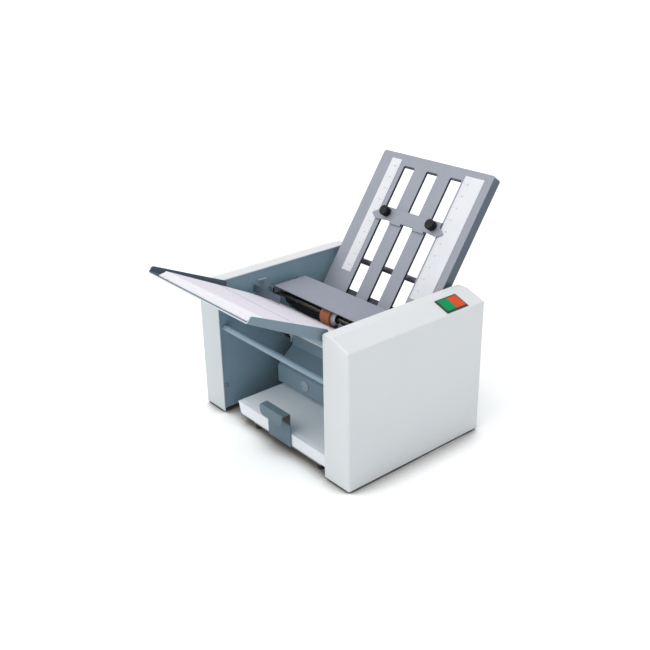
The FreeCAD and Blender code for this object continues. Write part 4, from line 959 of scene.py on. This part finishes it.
def makeLetter(thick):
    # a sheet folded in three: round folds in front and behind, the last third's edge on top
    size = letters
    block("letter", (letterWidth, letterDepth, thick), (letterWidth / 2, letterDepth / 2, thick / 2))
    fold = min(size["fold"], (thick - size["flapStep"]) / 2 - size["foldFlat"])
    pick("EDGE", lambda mid, way: abs(way.x) > aligned
         and (mid.y < touching or mid.y > letterDepth - touching))
    bevel(fold, steps=4)
    pick("FACE", lambda mid, normal: abs(normal.x) > aligned)
    inset(*size["ends"])
    before, edge = size["flapAt"] - size["flapGap"], size["flapAt"]
    for spot in (before, edge):
        cutAt((0, spot, 0), (0, 1, 0))
    pick("FACE", lambda mid, normal: normal.z > aligned
         and mid.z > thick - touching and before < mid.y < edge)
    inset(*size["groove"])
    pick("VERT", lambda co: co.y < (before + edge) / 2)
    bpy.ops.transform.resize(value=(1, 1, 1 - size["flapStep"] / thick), center_override=(0, 0, 0))
    return settle(moved(pileLow.x + size["left"], pileLow.y, pileLow.z), smooth=40)


def makeLetters():
    chance = random.Random(11)
    size = letters
    each = pileHeight / size["count"]
    first = makeLetter(each - size["gap"])
    middle = pileLow.y + letterDepth / 2
    parts = []
    for number in range(size["count"]):
        share = number / (size["count"] - 1)
        side = size["slant"] * (1 - share) + chance.uniform(0, size["unevenSide"])
        back = chance.uniform(0, size["unevenBack"])
        if number == 0:
            back += size["bottomBack"]
        turn = chance.uniform(-size["unevenTurn"], size["unevenTurn"])
        parts.append(copyOf(first, moved(side, back, number * each) @ turned(turn, 0, middle)))
    remove(first)
    finished(joined("foldedLetters", parts), "letter", stands=("folded_stack",))


# ---------- the printed scales

scales = {
    "face": 0.5,              # the strips' face over the plate
    "ink": 0.05,              # thickness of the print
    "crown": (0.2, 0.3),      # a tick's rim as a share of its width, and its rise as one of the ink
    "nip": -304.0,            # where the sheet enters, down the plate's slope
    "span": (92, 288),        # distances from the nip
    "step": 4,
    "longEvery": 20,
    "unit": 10,               # the figures count centimetres
    "tick": (2.2, 0.32),      # length and width
    "longTick": (4.0, 0.40),
    "figure": 3.8,            # height of the figures
    "figureAt": 8.2,          # their middle, beside the scale's line
    "figureSteps": 3,         # parts of each curve in them
    "rightLine": 70.0,
    "leftLine": -73.6,
}
inkMiddle = scales["face"] + scales["ink"] / 2


def makeTick(name, length, width):
    block(name, (length, width, scales["ink"]), (0, 0, inkMiddle))
    margin, rise = scales["crown"]
    pick("FACE", lambda mid, normal: normal.z > aligned)
    inset(width * margin)
    bpy.ops.transform.translate(value=(0, 0, scales["ink"] * rise))
    return settle(onPlate, smooth=35)


def makeFigure(words, x, y):
    bpy.ops.object.select_all(action="DESELECT")
    bpy.ops.object.text_add(location=(0, 0, 0))
    text = bpy.context.object.data
    text.body = words
    text.size = scales["figure"]
    text.align_x = "CENTER"
    text.align_y = "CENTER"
    text.extrude = scales["ink"] / 2
    text.resolution_u = scales["figureSteps"]
    bpy.ops.object.convert(target="MESH")
    return shifted(bpy.context.object, onPlate @ moved(x, y, inkMiddle) @ Matrix.Scale(0.001, 4))


def makeScale(name, line, side):
    # side is 1 where the ticks run to the right of the line, and -1 where they run to the left
    short, long = makeTick("tick", *scales["tick"]), makeTick("longTick", *scales["longTick"])
    parts = []
    for distance in range(*scales["span"], scales["step"]):
        y = scales["nip"] + distance
        marked = distance % scales["longEvery"] == 0
        length = scales["longTick" if marked else "tick"][0]
        move = inFrame(onPlate, moved(line + side * length / 2, y, 0))
        parts.append(copyOf(long if marked else short, move))
        if marked:
            parts.append(makeFigure(str(distance // scales["unit"]), line + side * scales["figureAt"], y))
    remove(short, long)
    finished(joined(name, parts), "ink")


# ---------- small hardware

coverNut = {
    "spots": ((104.0, 196.0), (160.0, 196.0)),   # the roller cover's pins: y and z
    "air": 0.3,               # between the roller cover and the washer
    "thick": 3.2,
    "across": 8.0,
    "rim": 0.5,               # flat edge of its faces
    "bore": (0.7, -0.5),      # width and depth of the slope into its bore
    "ease": 0.35,             # rounding of its corners
    "turn": 12.0,
}
coverWasher = {
    "radius": 5.6,
    "thick": 0.9,
    "ease": 0.2,
    "crown": (1.8, 0.12),     # width of its rim and rise of its middle
}
guideClip = {
    "spot": (127.6, 88.0, 213.6),   # of the right one, which the left one mirrors
    "size": (1.1, 17.0, 3.0),
    "ease": 0.45,             # rounding of its corners, as a share of its height
    "crown": (0.35, 0.15),    # width of its faces' rim and rise of their middle
    "tilt": -4.0,
}
springHook = {
    "spot": (-107.0, 123.0, 108.0),
    "turn": 35.0,
    "wire": 0.75,
    "eye": 2.6,
    "leg": 9.0,
    "legSteps": 4,
    "wave": 0.35,             # the leg isn't quite straight
}
hookScrew = {
    "fromHook": (-4.0, 0.0, 1.5),
    "radius": 3.4,
    "head": 9.0,
    "crown": (0.9, 0.5),      # width and rise of the head's sloping rim
    "socket": (0.6, -1.0),    # width and depth of the slope into its socket
    "shank": 14.5,
    "neck": 0.45,             # the head's margin round the shank, as a share of its radius
}


def makeNut():
    # hexagon nut along z, corners eased, with its bore
    size = coverNut
    drum("nut", size["across"] / math.sqrt(3), size["thick"], sides=6)
    pick("FACE", lambda mid, normal: abs(normal.z) > aligned)
    inset(size["rim"])
    pick("FACE", lambda mid, normal: abs(normal.z) > aligned and mid.xy.length < touching)
    inset(*size["bore"])
    pick("EDGE", lambda mid, way: abs(way.z) > aligned)
    bevel(size["ease"], steps=2)
    return settle(Matrix.Identity(4), smooth=30)


def makeWasher():
    size = coverWasher
    drum("washer", size["radius"], size["thick"], sides=28)
    pick("EDGE", lambda mid, way: abs(way.z) < aligned)
    bevel(size["ease"], steps=2)
    pick("FACE", lambda mid, normal: abs(normal.z) > aligned and mid.xy.length < touching)
    inset(*size["crown"])
    return settle(Matrix.Identity(4), smooth=30)


def makeCoverNuts():
    nut, washer = makeNut(), makeWasher()
    washerFrom = nodeBox("roller_cover")[1].x + coverNut["air"]
    nutFrom = washerFrom + coverWasher["thick"]
    nuts, washers = [], []
    for side in (-1, 1):
        across = Matrix.Rotation(math.radians(90 * side), 4, "Y")
        for y, z in coverNut["spots"]:
            washerAt = at(side * (washerFrom + coverWasher["thick"] / 2), y, z)
            washers.append(copyOf(washer, Matrix.Translation(washerAt) @ across))
            nutAt = at(side * (nutFrom + coverNut["thick"] / 2), y, z)
            # no two nuts are turned alike
            spin = Matrix.Rotation(math.radians(coverNut["turn"] * side + y), 4, "Z")
            nuts.append(copyOf(nut, Matrix.Translation(nutAt) @ across @ spin))
    remove(nut, washer)
    finished(joined("coverNuts", nuts), "brightNut")
    finished(joined("coverWashers", washers), "blackened")


def makeGuideClips():
    # the bright slotted clips that hold the inlet guides
    size = guideClip
    x, y, z = size["spot"]
    tilt = Matrix.Rotation(math.radians(size["tilt"]), 4, "X")
    parts = []
    for side in (-1, 1):
        block("clip", size["size"])
        pick("EDGE", lambda mid, way: abs(way.x) > aligned)
        bevel(size["size"][2] * size["ease"], steps=4)
        pick("FACE", lambda mid, normal: abs(normal.x) > aligned)
        inset(*size["crown"])
        parts.append(settle(Matrix.Translation(at(side * x, y, z)) @ tilt, smooth=30))
    finished(joined("guideClips", parts), "brightNut")


def makeSpringHook():
    # a wire hook, left above the exit chute
    size = springHook
    bpy.ops.object.select_all(action="DESELECT")
    bpy.ops.mesh.primitive_torus_add(major_segments=28, minor_segments=8, location=(0, 0, 0),
                                     major_radius=size["eye"], minor_radius=size["wire"])
    begin("springHook")
    cutAt((0, 0, 0), (0, 1, 0), trim=True)
    pick("FACE", lambda mid, normal: normal.y < -aligned and abs(mid.y) < touching and mid.x > 0)
    for step in range(size["legSteps"]):
        extrude(size["wave"] if step % 2 else -size["wave"], -size["leg"] / size["legSteps"], 0)
    upright = Matrix.Rotation(math.radians(90), 4, "X")
    turn = Matrix.Rotation(math.radians(size["turn"]), 4, "Y")
    hook = settle(Matrix.Translation(at(*size["spot"])) @ upright @ turn, smooth=40)
    finished(hook, "brightNut")


def makeHookScrew():
    # the screw that the hook hangs from, in the left side plate
    size = hookScrew
    drum("hookScrew", size["radius"], size["head"], sides=24)
    pick("FACE", lambda mid, normal: normal.z > aligned)
    inset(*size["crown"])
    inset(*size["socket"])
    pick("FACE", lambda mid, normal: normal.z < -aligned)
    inset(size["radius"] * size["neck"])
    extrude(0, 0, -size["shank"])
    spot = Vector(springHook["spot"]) + Vector(size["fromHook"])
    across = Matrix.Rotation(math.radians(90), 4, "Y")
    screw = settle(Matrix.Translation(at(*spot)) @ across, smooth=30)
    finished(screw, "blackened")


makeSheets()
makeDrawnSheets()
print("sheets are on the feed tray")
makeLetters()
print("letters are in the exit tray")
makeScale("rightScaleMarks", scales["rightLine"], 1)
makeScale("leftScaleMarks", scales["leftLine"], -1)
print("scales are printed")
makeCoverNuts()
makeGuideClips()
makeSpringHook()
makeHookScrew()
print("small hardware is on")
